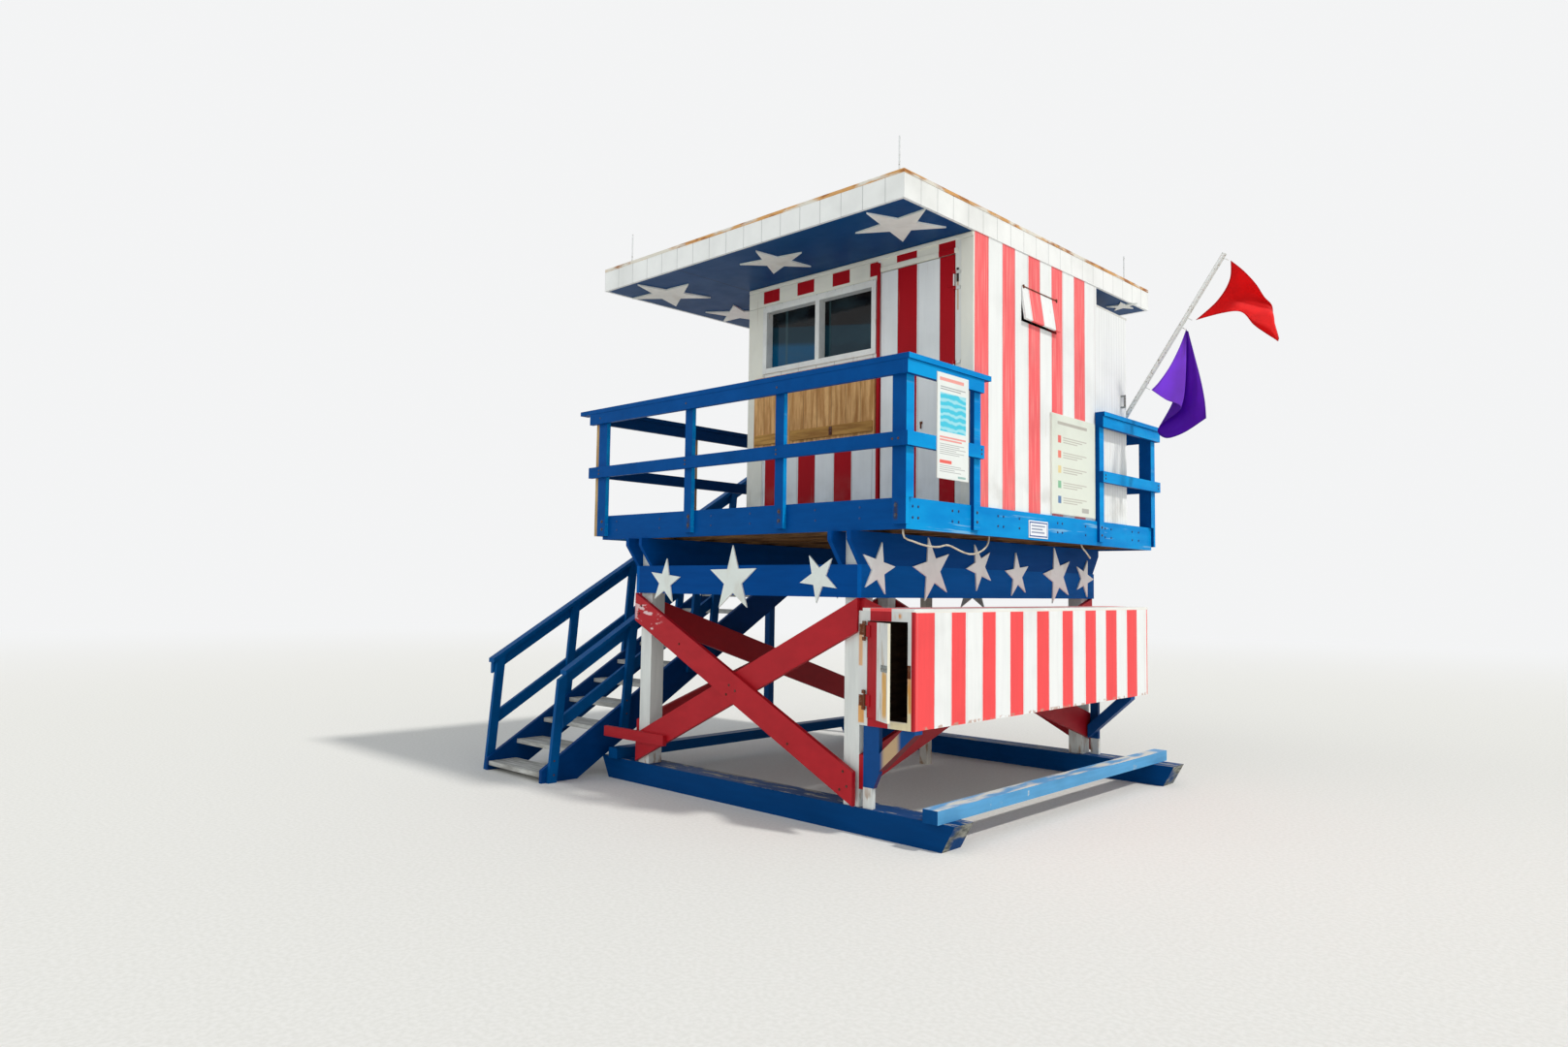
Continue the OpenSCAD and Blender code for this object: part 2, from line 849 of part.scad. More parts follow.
// A stringer board whose foot is cut level on the ground
module stringer(x0) {
  over = 40;
  up = stringer_h / cos(pitch);
  y0 = stair_foot - 20;
  y_low = landing_front - (deck_top - (up - over)) / slope;
  along_x(x0, board_t, [
    [y0, 0], [y_low, 0],
    [landing_front, deck_top - (up - over)], [landing_front, deck_top - 4],
    [landing_front - 60, nose_z(landing_front - 60) + over - 8], [y0, nose_z(y0) + over]
  ]);
}

module stair_stringers() {
  color("royalblue") place() {
    stringer(stair_far - board_t);
    stringer(stair_near);
  }
}

module stair_treads() {
  color("darkgray") place()
    for (i = [1:tread_n]) {
      z = deck_top - i * rise;
      y = landing_front - i * going;
      span([stair_far, stair_near], [y - 6, y - 6 + tread_d], [z - tread_t, z]);
    }
}

// A leaning post of the stair: y0 is its front edge at the height of the tread noses
module stair_post(x0, y0, top) {
  foot = max(0, nose_z(y0) - 180);
  back = post_lean * (nose_z(y0) - foot);
  run = post_lean * top / (1 - post_lean * slope);
  width = rail_post_w * (1 - post_lean * slope);
  y1 = y0 + rail_post_w;
  along_x(x0, board_t, [
    [y0 - back, foot], [y0 - back + width, foot],
    [y1 + run, nose_z(y1 + run) + top], [y0 + run, nose_z(y0 + run) + top]
  ]);
}

// A sloped board of the stair's railing between two heights above the tread noses
module stair_board(x0, thick, y, lift) {
  along_x(x0, thick, [
    [y[0], nose_z(y[0]) + lift[0]], [y[1], nose_z(y[1]) + lift[0]],
    [y[1], nose_z(y[1]) + lift[1]], [y[0], nose_z(y[0]) + lift[1]]
  ]);
}

// One side of the stair's railing: leaning posts, two boards and a cap
module stair_railing(x_post, x_board, x_cap, post_at, y, height) {
  top = height - cap_t - seam;
  board = rail_board_h / cos(pitch);
  mid = 260;
  for (y0 = post_at)
    stair_post(x_post, y0, top);
  stair_board(x_board, board_t, [y[0] + 20, y[1]], [top - board, top]);
  stair_board(x_board, board_t, [y[0] + 20, y[1]], [mid, mid + board]);
  stair_board(x_cap, cap_w, y, [height - cap_t, height]);
}

module stair_railings() {
  far_face = stair_far - board_t;
  near_face = stair_near + board_t;
  y_under = landing_front - (deck_top - deck_under + near_rail_h + 30) / slope;
  color("royalblue") place() {
    stair_railing(far_face - board_t, far_face - board_out, far_face - cap_out,
      [for (run = [-10, 820, 1540, 2270, 3000]) stair_foot + run],
      [stair_foot + 30, landing_front - seam], far_rail_h);
    stair_railing(near_face, near_face - board_in, near_face - board_t,
      [stair_foot + 36, stair_foot + 812, y_under - 444, y_under - 170],
      [stair_foot + 170, y_under], near_rail_h);
  }
}

module landing() {
  x = [stair_far - board_t, -deck_x - seam];
  y = [landing_front, deck_d];
  z = [deck_under, deck_top - deck_board_t - seam];
  post = rail_post_w;
  color("royalblue") place() {
    span(x, y, [deck_top - deck_board_t, deck_top]);
    span(x, [y[0], y[0] + board_t], z);
    span(x, [y[1] - board_t, y[1]], z);
    span([x[0], x[0] + board_t], [y[0] + board_in, y[1] - board_in], z);
    // One post stands outside the front corner, the other under the rear edge beside the deck
    span([x[0] - post + 9, x[0] - seam], [y[0] - 25, y[0] - 25 + post], [0, rail_foot - seam]);
    span([x[1] - 200, x[1] - 200 + post], [y[1] - board_in - post, y[1] - board_in], [0, z[1]]);
  }
}

module landing_railing() {
  x0 = stair_far - board_t;
  x1 = -deck_x - seam;
  color("royalblue") place() {
    for (y = [landing_front, deck_d - rail_post_w])
      rail_post([x0 - board_t, x0], [y, y + rail_post_w]);
    rail_boards([x0 - board_out, x0 - board_in], [landing_front, deck_d]);
    rail_cap([x0 - cap_out, x0 - cap_in], [landing_front, deck_d + cap_in - seam]);
    for (x = [x0, x1 - 150])
      rail_post([x, x + rail_post_w], [deck_d, deck_d + board_t]);
    rail_boards([x0 - board_out, x1], [deck_d + board_in, deck_d + board_out]);
    rail_cap([x0 - cap_out, x1], [deck_d + cap_in, deck_d + cap_out]);
  }
}

star_t = 12;

module beam_star(pos, r, turn) {
  translate([pos[0], 0, pos[1]])
    rotate([90, 0, 0]) linear_extrude(star_t) polygon(star_points(r, turn));
}

// Each star: its place along the beam and up the beam as shares of them, its radius and its turn
front_stars = [[-0.354, 0.212, 0.84, 84], [-0.015, 0.258, 1.155, 91], [0.354, 0.298, 0.798, 264]];
rear_stars = [[-0.354, 0.28, 0.67, 84], [0.043, 0.17, 1.075, 90], [0.354, 0.28, 0.67, 84]];
side_stars = [[0.0415, 0.439, 0.84, 78], [0.2347, 0.4517, 1.08, 103], [0.4253, 0.5315, 0.84, 112],
  [0.5963, 0.416, 0.84, 97], [0.8009, 0.4307, 1.126, 104], [0.9509, 0.4013, 0.777, 71]];

module star_row(list, from, len) {
  for (s = list)
    beam_star([from + s[0] * len, beam_low_z + s[1] * 2 * beam_h], s[2] * beam_h, s[3]);
}

module beam_stars() {
  color("ivory") place() {
    translate([0, post_y - board_t, 0]) star_row(front_stars, 0, post_span_x);
    translate([0, post_rear + board_t, 0]) rotate([0, 0, 180]) star_row(rear_stars, 0, post_span_x);
    translate([post_x + board_t, 0, 0]) rotate([0, 0, 90]) star_row(side_stars, post_y, post_span_y);
    translate([-post_x - board_t, 0, 0])
      mirror([1, 0, 0]) rotate([0, 0, 90]) star_row(side_stars, post_y, post_span_y);
  }
}

// Each star under the roof: its place as shares of the deck, its radius and its turn
roof_stars = [[0.789, 0.095, 0.1056, 50], [0.042, 0.097, 0.093, 66], [-0.782, 0.103, 0.1152, 58],
  [-0.799, 0.335, 0.0968, 20], [0.9325, 0.912, 0.044, 0]];

module soffit_stars() {
  color("ivory") place()
    for (s = roof_stars) {
      y = s[1] * deck_d;
      translate([s[0] * deck_x, y, soffit_z(y) - soft_gap])
        rotate([atan(roof_slope), 0, 0])
          translate([0, 0, -star_t]) linear_extrude(star_t) polygon(star_points(s[2] * deck_w, s[3]));
    }
}

module signs() {
  poster_x = side_face + board_in;
  color("oldlace") place() {
    span([hut_right, hut_right + 14], [hut_rear - 859, hut_rear - 70], [deck_top + 20, deck_top + 866]);
    span([poster_x, poster_x + 6], [262, 660], [deck_top + 151, post_top - 36]);
    span([deck_x, deck_x + 4], [1640, 1950], [deck_top - 200, deck_top - 60]);
  }
}

// Loose cables that hang from the deck's underside inside the right edge board
cable_d = 14;
cable_x = deck_x - 65;
cable_top = deck_top - deck_board_t - soft_gap;
long_cable = [
  [50, cable_top], [50, deck_under + 90], [52, deck_under + 10], [70, deck_under - 55],
  [160, deck_under - 75], [270, deck_under - 95], [395, deck_under - 106], [500, deck_under - 102],
  [576, deck_under - 87], [650, deck_under - 95], [765, deck_under - 124], [885, deck_under - 142],
  [990, deck_under - 132], [1075, deck_under - 103], [1130, deck_under - 67], [1155, deck_under - 20],
  [1165, deck_under + 60], [1165, cable_top]
];
short_cable = [
  [2660, cable_top], [2660, deck_under + 60], [2668, deck_under + 5], [2700, deck_under - 30],
  [2757, deck_under - 60], [2837, deck_under - 112]
];

// A point on a smooth curve through the points p, at a distance t counted in points
function curve(p, t) =
  let (i = min(floor(t), len(p) - 2), f = t - i,
    a = p[max(i - 1, 0)], b = p[i], c = p[i + 1], d = p[min(i + 2, len(p) - 1)])
  0.5 * (2 * b + (c - a) * f + (2 * a - 5 * b + 4 * c - d) * f * f + (3 * b - a - 3 * c + d) * f * f * f);

// A tube along a curve that lies in a plane of constant X
module tube(x, p, step, sides = 10) {
  n = (len(p) - 1) * step;
  c = [for (k = [0:n]) curve(p, k / step)];
  rings = [
    for (k = [0:n])
      let (t = c[min(k + 1, n)] - c[max(k - 1, 0)], u = [-t[1], t[0]] / norm(t))
      for (j = [0:sides - 1])
        [x + cable_d / 2 * cos(360 * j / sides), c[k][0] + cable_d / 2 * sin(360 * j / sides) * u[0],
          c[k][1] + cable_d / 2 * sin(360 * j / sides) * u[1]]
  ];
  faces = concat(
    [[for (j = [0:sides - 1]) j]],
    [for (k = [0:n - 1]) for (j = [0:sides - 1])
      [k * sides + j, (k + 1) * sides + j, (k + 1) * sides + (j + 1) % sides, k * sides + (j + 1) % sides]],
    [[for (j = [sides - 1:-1:0]) n * sides + j]]
  );
  polyhedron(rings, faces);
}

module loose_cables() {
  color("tan") place() {
    tube(cable_x, long_cable, 3);
    tube(cable_x, short_cable, 3);
  }
}

module flag_pole() {
  color("silver") place() {
    translate([pole_foot[0], pole_y, pole_foot[1]])
      rotate([0, pole_lean, 0]) {
        cylinder(d = pole_d, h = pole_len);
        for (h = concat(red_hoist, purple_hoist))
          translate([pole_d / 2 + seam, 0, h])
            rotate([0, 90, 0]) cylinder(d = tie_d, h = hoist_off - soft_gap - pole_d / 2 - seam);
      }
    for (s = [120, 420])
      translate([on_pole(s, 0)[0], closet_rear, on_pole(s, 0)[1]])
        span([-30, 30], [0, pole_y - closet_rear - pole_d / 2 - seam], [-30, 30]);
  }
}

// A flag whose outline is given along the pole and away from it
module flag(points) {
  along_y(pole_y - flag_t / 2, flag_t, [for (p = points) on_pole(p[0], p[1])]);
}

module red_flag() {
  color("red") place()
    flag([[red_hoist[1], hoist_off], red_low, red_tip, red_fly, [red_hoist[0], hoist_off]]);
}

module purple_flag() {
  color("indigo") place()
    flag([[purple_hoist[1], hoist_off], purple_low, purple_fly, [purple_hoist[0], hoist_off]]);
}

deck_floor();
deck_fascia();
floor_joists();
deck_beams();
cross_beams();
side_beams();
posts();
centre_prop();
skids();
skid_ties();
front_brace();
rear_brace();
side_braces();
stair_tie();
locker_floor();
locker_top();
locker_face();
locker_back();
locker_far_end();
locker_door_frame();
locker_door();
locker_brackets();
front_wall();
front_wall_corner();
front_wall_header();
right_wall();
left_wall();
rear_wall();
closet_walls();
closet_roof();
window_frame();
window_glass();
window_shutters();
vent_flap();
front_door();
hinge_pins();
grab_handle();
roof_soffit();
roof_top();
roof_fascia();
roof_rods();
front_railing();
left_railing();
left_railing_posts();
right_railings();
rear_railing();
stair_stringers();
stair_treads();
stair_railings();
landing();
landing_railing();
beam_stars();
soffit_stars();
signs();
loose_cables();
flag_pole();
red_flag();
purple_flag();
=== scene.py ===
import math

import bmesh
import bpy
from mathutils import Matrix, Vector


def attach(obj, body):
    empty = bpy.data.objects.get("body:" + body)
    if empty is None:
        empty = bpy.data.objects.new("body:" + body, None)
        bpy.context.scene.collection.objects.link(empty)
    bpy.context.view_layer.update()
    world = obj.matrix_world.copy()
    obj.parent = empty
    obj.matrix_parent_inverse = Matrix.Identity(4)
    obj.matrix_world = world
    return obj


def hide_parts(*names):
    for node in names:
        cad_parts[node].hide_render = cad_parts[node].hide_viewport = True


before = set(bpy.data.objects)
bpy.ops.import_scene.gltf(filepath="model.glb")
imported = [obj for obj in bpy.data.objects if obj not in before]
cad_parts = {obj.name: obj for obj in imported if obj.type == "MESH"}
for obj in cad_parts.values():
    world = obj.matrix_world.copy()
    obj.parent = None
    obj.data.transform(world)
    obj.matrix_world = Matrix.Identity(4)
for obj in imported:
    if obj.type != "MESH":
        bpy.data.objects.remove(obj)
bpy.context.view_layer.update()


# The view.
# Seen from in front of the right corner, at eye height, through a wide lens. Places are given in
# millimetres on the deck: x from its middle, y from its front edge and z from the ground.
DECK_MIDDLE = Vector((134.2437256, 1765.25, 0.0))


def at(x, y, z):
    """Turns millimetres measured on the deck into the scene's metres."""
    return (Vector((x, y, z)) - DECK_MIDDLE) / 1000


def aim(yaw, pitch, roll):
    """The camera's three axes: yaw to the left of +Y, pitch upwards and roll, in radians."""
    ahead = Vector((-math.sin(yaw) * math.cos(pitch), math.cos(yaw) * math.cos(pitch), math.sin(pitch)))
    level = Vector((math.cos(yaw), math.sin(yaw), 0))
    above = level.cross(ahead)
    right = math.cos(roll) * level + math.sin(roll) * above
    top = math.cos(roll) * above - math.sin(roll) * level
    return Matrix((right, top, -ahead)).transposed()


FILM_WIDTH = 36.0
LENS_LENGTH = 22.898
EYE = (5734.5, -5487.4, 1721.6)
YAW, PITCH, ROLL = 0.7554, 0.0643, 0.0145

lens = bpy.data.cameras.new("camera")
lens.sensor_width = FILM_WIDTH
lens.lens = LENS_LENGTH
lens.clip_end = 200.0
camera = bpy.data.objects.new("camera", lens)
camera.matrix_world = Matrix.Translation(at(*EYE)) @ aim(YAW, PITCH, ROLL).to_4x4()
bpy.context.scene.collection.objects.link(camera)
bpy.context.scene.camera = camera


# Loose cables.
# Two beige plastic cables come down through the deck behind the right edge board. The long one
# sags in two bows and goes back up through the deck; the short one ends bare. They hang freely.
CABLE_PLANE = 1640
CABLE_THICK = 14
HOLE_Z = 2317.7
JOIST_FOOT = 2134
LONG_ROUTE = [
    (50, HOLE_Z), (50, JOIST_FOOT + 90), (52, JOIST_FOOT + 10), (70, JOIST_FOOT - 55),
    (160, JOIST_FOOT - 75), (270, JOIST_FOOT - 95), (395, JOIST_FOOT - 106), (500, JOIST_FOOT - 102),
    (576, JOIST_FOOT - 87), (650, JOIST_FOOT - 95), (765, JOIST_FOOT - 124), (885, JOIST_FOOT - 142),
    (990, JOIST_FOOT - 132), (1075, JOIST_FOOT - 103), (1130, JOIST_FOOT - 67), (1155, JOIST_FOOT - 20),
    (1165, JOIST_FOOT + 60), (1165, HOLE_Z),
]
SHORT_ROUTE = [
    (2660, HOLE_Z), (2660, JOIST_FOOT + 60), (2668, JOIST_FOOT + 5), (2700, JOIST_FOOT - 30),
    (2757, JOIST_FOOT - 60), (2837, JOIST_FOOT - 112),
]


def curve_place(a, b, c, d, f):
    """A place between b and c, at a share f of the way, on a smooth curve through a, b, c and d."""
    return 0.5 * (2 * b + (c - a) * f + (2 * a - 5 * b + 4 * c - d) * f**2
                  + (3 * b - a - 3 * c + d) * f**3)


def smooth_route(route, steps):
    """Points on a smooth curve through a route of (y, z) places, in the scene's metres."""
    points = []
    for k in range((len(route) - 1) * steps + 1):
        i = min(k // steps, len(route) - 2)
        f = k / steps - i
        a, b = Vector(route[max(i - 1, 0)]), Vector(route[i])
        c, d = Vector(route[i + 1]), Vector(route[min(i + 2, len(route) - 1)])
        points.append(at(CABLE_PLANE, *curve_place(a, b, c, d, f)))
    return points


def cable(name, points):
    curve = bpy.data.curves.new(name, "CURVE")
    curve.dimensions = "3D"
    curve.bevel_depth = 1.0
    curve.bevel_resolution = 4
    curve.use_fill_caps = True
    spline = curve.splines.new("POLY")
    spline.points.add(len(points) - 1)
    for target, p in zip(spline.points, points):
        target.co = (p.x, p.y, p.z, 1)
        target.radius = CABLE_THICK / 2000
    made = bpy.data.objects.new(name, curve)
    bpy.context.scene.collection.objects.link(made)
    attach(made, "tower")
    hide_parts("loose_cables")
    return made


long_points = smooth_route(LONG_ROUTE, 2)
short_points = smooth_route(SHORT_ROUTE, 3)
long_cable = cable("long_cable", long_points)
short_cable = cable("short_cable", short_points)


# Ground and light.
# A pale floor fades into a pale backdrop. One lamp stands high at the right and rear, like an
# afternoon sun, with broad weak lamps in front and at the right and even light from all round.
def tint(red, green, blue):
    """A colour as it is read from a paint card, 0 to 255, in the renderer's own scale."""
    def linear(v):
        v /= 255
        return v / 12.92 if v <= 0.04045 else ((v + 0.055) / 1.055) ** 2.4
    return (linear(red), linear(green), linear(blue), 1.0)


def plug(tree, socket, value):
    if isinstance(value, bpy.types.NodeSocket):
        tree.links.new(value, socket)
    else:
        socket.default_value = value


def add(tree, kind, inputs=(), **settings):
    made = tree.nodes.new("ShaderNode" + kind)
    for name, value in settings.items():
        setattr(made, name, value)
    for key, value in dict(inputs).items():
        plug(tree, made.inputs[key], value)
    return made


def calc(tree, operation, *terms):
    made = add(tree, "Math", operation=operation)
    for i, term in enumerate(terms):
        plug(tree, made.inputs[i], term)
    return made.outputs[0]


def times(tree, *parts):
    """The product of masks and numbers."""
    product = parts[0]
    for part in parts[1:]:
        product = calc(tree, "MULTIPLY", product, part)
    return product


def most(tree, *masks):
    """Wherever any of the masks is."""
    widest = masks[0]
    for mask in masks[1:]:
        widest = calc(tree, "MAXIMUM", widest, mask)
    return widest


def fade(tree, value, start, end):
    """0 below start and 1 above end, or the other way round where start is above end."""
    made = add(tree, "MapRange", {"Value": value, "From Min": start, "From Max": end},
               interpolation_type="SMOOTHSTEP")
    return made.outputs[0]


def mix(tree, mask, base, top, mode="MIX"):
    made = add(tree, "Mix", data_type="RGBA", blend_type=mode)
    plug(tree, made.inputs[0], mask)
    plug(tree, made.inputs[6], base)
    plug(tree, made.inputs[7], top)
    return made.outputs[2]


def stretch_place(tree, place, stretch):
    return add(tree, "VectorMath", {0: place, 1: stretch}, operation="MULTIPLY").outputs[0]


class Surface:
    """A material that is being built, with the places on its piece at hand."""

    def __init__(self, name):
        self.material = bpy.data.materials.new(name)
        self.material.use_nodes = True
        self.tree = self.material.node_tree
        self.shader = self.tree.nodes["Principled BSDF"]
        places = add(self.tree, "TexCoord").outputs
        self.place = places["Object"]
        parts = add(self.tree, "SeparateXYZ", {0: self.place})
        self.axis = {"x": parts.outputs[0], "y": parts.outputs[1], "z": parts.outputs[2]}
        facing = add(self.tree, "SeparateXYZ", {0: places["Normal"]})
        self.facing = {"x": facing.outputs[0], "y": facing.outputs[1], "z": facing.outputs[2]}

    def noise(self, scale, detail=3.0, stretch=(1, 1, 1)):
        spread = stretch_place(self.tree, self.place, stretch)
        return add(self.tree, "TexNoise", {"Vector": spread, "Scale": scale, "Detail": detail}).outputs[0]

    def band(self, axis, low, high, soft=3):
        """1 between two places on an axis, in millimetres on the deck."""
        i = "xyz".index(axis)
        low, high = ((v - DECK_MIDDLE[i]) / 1000 for v in (low, high))
        v, soft = self.axis[axis], soft / 1000
        rise = fade(self.tree, v, low - soft, low + soft)
        fall = fade(self.tree, v, high + soft, high - soft)
        return times(self.tree, rise, fall)

    def area(self, soft=3, **limits):
        """1 inside all the given limits, such as x=(low, high)."""
        bands = [self.band(axis, low, high, soft) for axis, (low, high) in limits.items()]
        return times(self.tree, *bands)

    def stripes(self, axis, bands, wobble=0.004):
        """1 on painted stripes, each given as (from, to) in millimetres on the deck."""
        i = "xyz".index(axis)
        shaky = times(self.tree, calc(self.tree, "SUBTRACT", self.noise(9.0), 0.5), wobble)
        value = calc(self.tree, "ADD", self.axis[axis], shaky)
        low = (bands[0][0] - DECK_MIDDLE[i]) / 1000 - 0.2
        high = (bands[-1][1] - DECK_MIDDLE[i]) / 1000 + 0.2
        share = add(self.tree, "MapRange", {"Value": value, "From Min": low, "From Max": high}).outputs[0]
        ramp = add(self.tree, "ValToRGB", {0: share})
        ramp.color_ramp.interpolation = "CONSTANT"
        ramp.color_ramp.elements[0].color = (0, 0, 0, 1)
        ramp.color_ramp.elements.remove(ramp.color_ramp.elements[1])
        for start, end in bands:
            for edge, shade in ((start, 1.0), (end, 0.0)):
                share_of = ((edge - DECK_MIDDLE[i]) / 1000 - low) / (high - low)
                ramp.color_ramp.elements.new(share_of).color = (shade, shade, shade, 1)
        return ramp.outputs[0]

    def finish(self, colour, height, rough, bump=0.6, depth=0.002):
        plug(self.tree, self.shader.inputs["Base Color"], colour)
        plug(self.tree, self.shader.inputs["Roughness"], rough)
        relief = add(self.tree, "Bump", {"Height": height, "Strength": bump, "Distance": depth})
        plug(self.tree, self.shader.inputs["Normal"], relief.outputs[0])
        return self.material


PALE = (0.90, 0.905, 0.91, 1)
FLOOR_RADIUS = 70
HAZE_FROM, HAZE_TO = 9.0, 34.0
LAMPS = (
    ("high_lamp", (0.626, 0.1436, 0.767), 2.0, 4, (1.0, 0.985, 0.95)),
    ("front_fill", (-0.25, -0.94, 0.22), 1.12, 90, (0.92, 0.97, 1.0)),
    ("side_fill", (0.98, -0.1, 0.02), 0.6, 90, (1.0, 0.98, 0.95)),
)


def background_rays(tree):
    """1 where the background is looked at, straight on, in a reflection or through glass."""
    path = add(tree, "LightPath").outputs
    return most(tree, path["Is Camera Ray"], path["Is Glossy Ray"], path["Is Transmission Ray"])


bm = bmesh.new()
bmesh.ops.create_circle(bm, cap_ends=True, segments=96, radius=FLOOR_RADIUS)
floor_mesh = bpy.data.meshes.new("floor")
bm.to_mesh(floor_mesh)
bm.free()
floor = bpy.data.objects.new("floor", floor_mesh)
bpy.context.scene.collection.objects.link(floor)

s = Surface("pale_floor")
t = s.tree
away = add(t, "VectorMath", {0: s.place}, operation="LENGTH").outputs["Value"]
speckle = fade(t, s.noise(40.0, 5.0), 0.3, 0.7)
s.finish(mix(t, speckle, tint(232, 230, 225), tint(224, 222, 216)), speckle, 0.9, bump=0.15)
seen = times(t, background_rays(t), fade(t, away, HAZE_FROM, HAZE_TO))
haze = add(t, "Emission", {"Color": PALE, "Strength": 1.0})
blend = add(t, "MixShader", {0: seen, 1: s.shader.outputs[0], 2: haze.outputs[0]})
plug(t, t.nodes["Material Output"].inputs["Surface"], blend.outputs[0])
floor_mesh.materials.append(s.material)

world = bpy.data.worlds.new("soft_sky")
world.use_nodes = True
bpy.context.scene.world = world
bpy.context.scene.view_settings.view_transform = "Standard"
t = world.node_tree
even = t.nodes["Background"]
even.inputs["Color"].default_value = (0.90, 0.95, 1.0, 1)
even.inputs["Strength"].default_value = 0.46
shown = add(t, "Background", {"Color": PALE, "Strength": 1.0})
both = add(t, "MixShader", {0: background_rays(t), 1: even.outputs[0], 2: shown.outputs[0]})
plug(t, t.nodes["World Output"].inputs["Surface"], both.outputs[0])

for name, toward, energy, spread, colour in LAMPS:
    lamp = bpy.data.lights.new(name, "SUN")
    lamp.energy = energy
    lamp.angle = math.radians(spread)
    lamp.color = colour
    lamp_object = bpy.data.objects.new(name, lamp)
    lamp_object.matrix_world = Vector(toward).to_track_quat("Z", "Y").to_matrix().to_4x4()
    bpy.context.scene.collection.objects.link(lamp_object)


# Skids and ties.
# Two heavy timbers with sloped ends, on which the tower can be dragged, tied by a doubled timber
# on each side. Blue paint, rubbed to bare grey on the tops and raw at the sawn ends.
def darker(tree, colour, share):
    """A colour, plain or from a node, times a share for each of red, green and blue."""
    if isinstance(colour, bpy.types.NodeSocket):
        return mix(tree, 1.0, colour, (*share, 1), "MULTIPLY")
    return (*(part * less for part, less in zip(colour, share)), 1)


def effect(name, inputs, outputs):
    """An empty node group with named sockets, and its two ends."""
    tree = bpy.data.node_groups.new(name, "ShaderNodeTree")
    for label, kind in inputs:
        tree.interface.new_socket(label, in_out="INPUT", socket_type="NodeSocket" + kind)
    for label in outputs:
        tree.interface.new_socket(label, in_out="OUTPUT", socket_type="NodeSocketFloat")
    return tree, tree.nodes.new("NodeGroupInput").outputs, tree.nodes.new("NodeGroupOutput").inputs


def use(tree, group, **inputs):
    made = tree.nodes.new("ShaderNodeGroup")
    made.node_tree = group
    for name, value in inputs.items():
        plug(tree, made.inputs[name], value)
    return made.outputs[0]


# What most finishes share: the grain of a board, the chips and bare spots of old paint, and
# the joints or grooves between boards
grain_effect, given, gives = effect(
    "board_grain", [("Place", "Vector"), ("Stretch", "Vector"), ("Scale", "Float")], ["Grain"])
stretched = stretch_place(grain_effect, given["Place"], given["Stretch"])
streaks = add(grain_effect, "TexNoise", {"Vector": stretched, "Scale": given["Scale"], "Detail": 6.0,
                                         "Roughness": 0.62, "Distortion": 0.25}).outputs[0]
plug(grain_effect, gives["Grain"], fade(grain_effect, streaks, 0.3, 0.7))

chips_effect, given, gives = effect(
    "paint_chips", [("Place", "Vector"), ("Scale", "Float"), ("Level", "Float")], ["Bare"])
spots = add(chips_effect, "TexNoise", {"Vector": given["Place"], "Scale": given["Scale"], "Detail": 9.0,
                                       "Roughness": 0.68}).outputs[0]
chips = add(chips_effect, "MapRange", {"Value": calc(chips_effect, "SUBTRACT", spots, given["Level"]),
                                       "From Min": 0.0, "From Max": 0.035})
plug(chips_effect, gives["Bare"], chips.outputs[0])

joints_effect, given, gives = effect(
    "board_joints", [("Along", "Float"), ("Pitch", "Float"), ("Start", "Float"), ("Width", "Float")],
    ["Joint"])
from_first = calc(joints_effect, "SUBTRACT", given["Along"], given["Start"])
part = calc(joints_effect, "FRACT", calc(joints_effect, "DIVIDE", from_first, given["Pitch"]))
near = calc(joints_effect, "MINIMUM", part, calc(joints_effect, "SUBTRACT", 1.0, part))
apart = times(joints_effect, near, given["Pitch"])
line = add(joints_effect, "MapRange", {"Value": apart, "From Min": given["Width"], "From Max": 0.0},
           interpolation_type="SMOOTHSTEP")
plug(joints_effect, gives["Joint"], line.outputs[0])


def joint(s, axis, pitch, start, width):
    """1 in the joints between boards: the first at start, then one every pitch, in millimetres."""
    start_metres = (start - DECK_MIDDLE["xyz".index(axis)]) / 1000
    return use(s.tree, joints_effect, Along=s.axis[axis], Pitch=pitch / 1000, Start=start_metres,
               Width=width / 1000)


OLD_WOOD = tint(150, 136, 118)


def chip_level(worn):
    """How high a spot has to stand to be bare: lower, and so more of them, on worn paint."""
    return 0.80 - 0.34 * worn


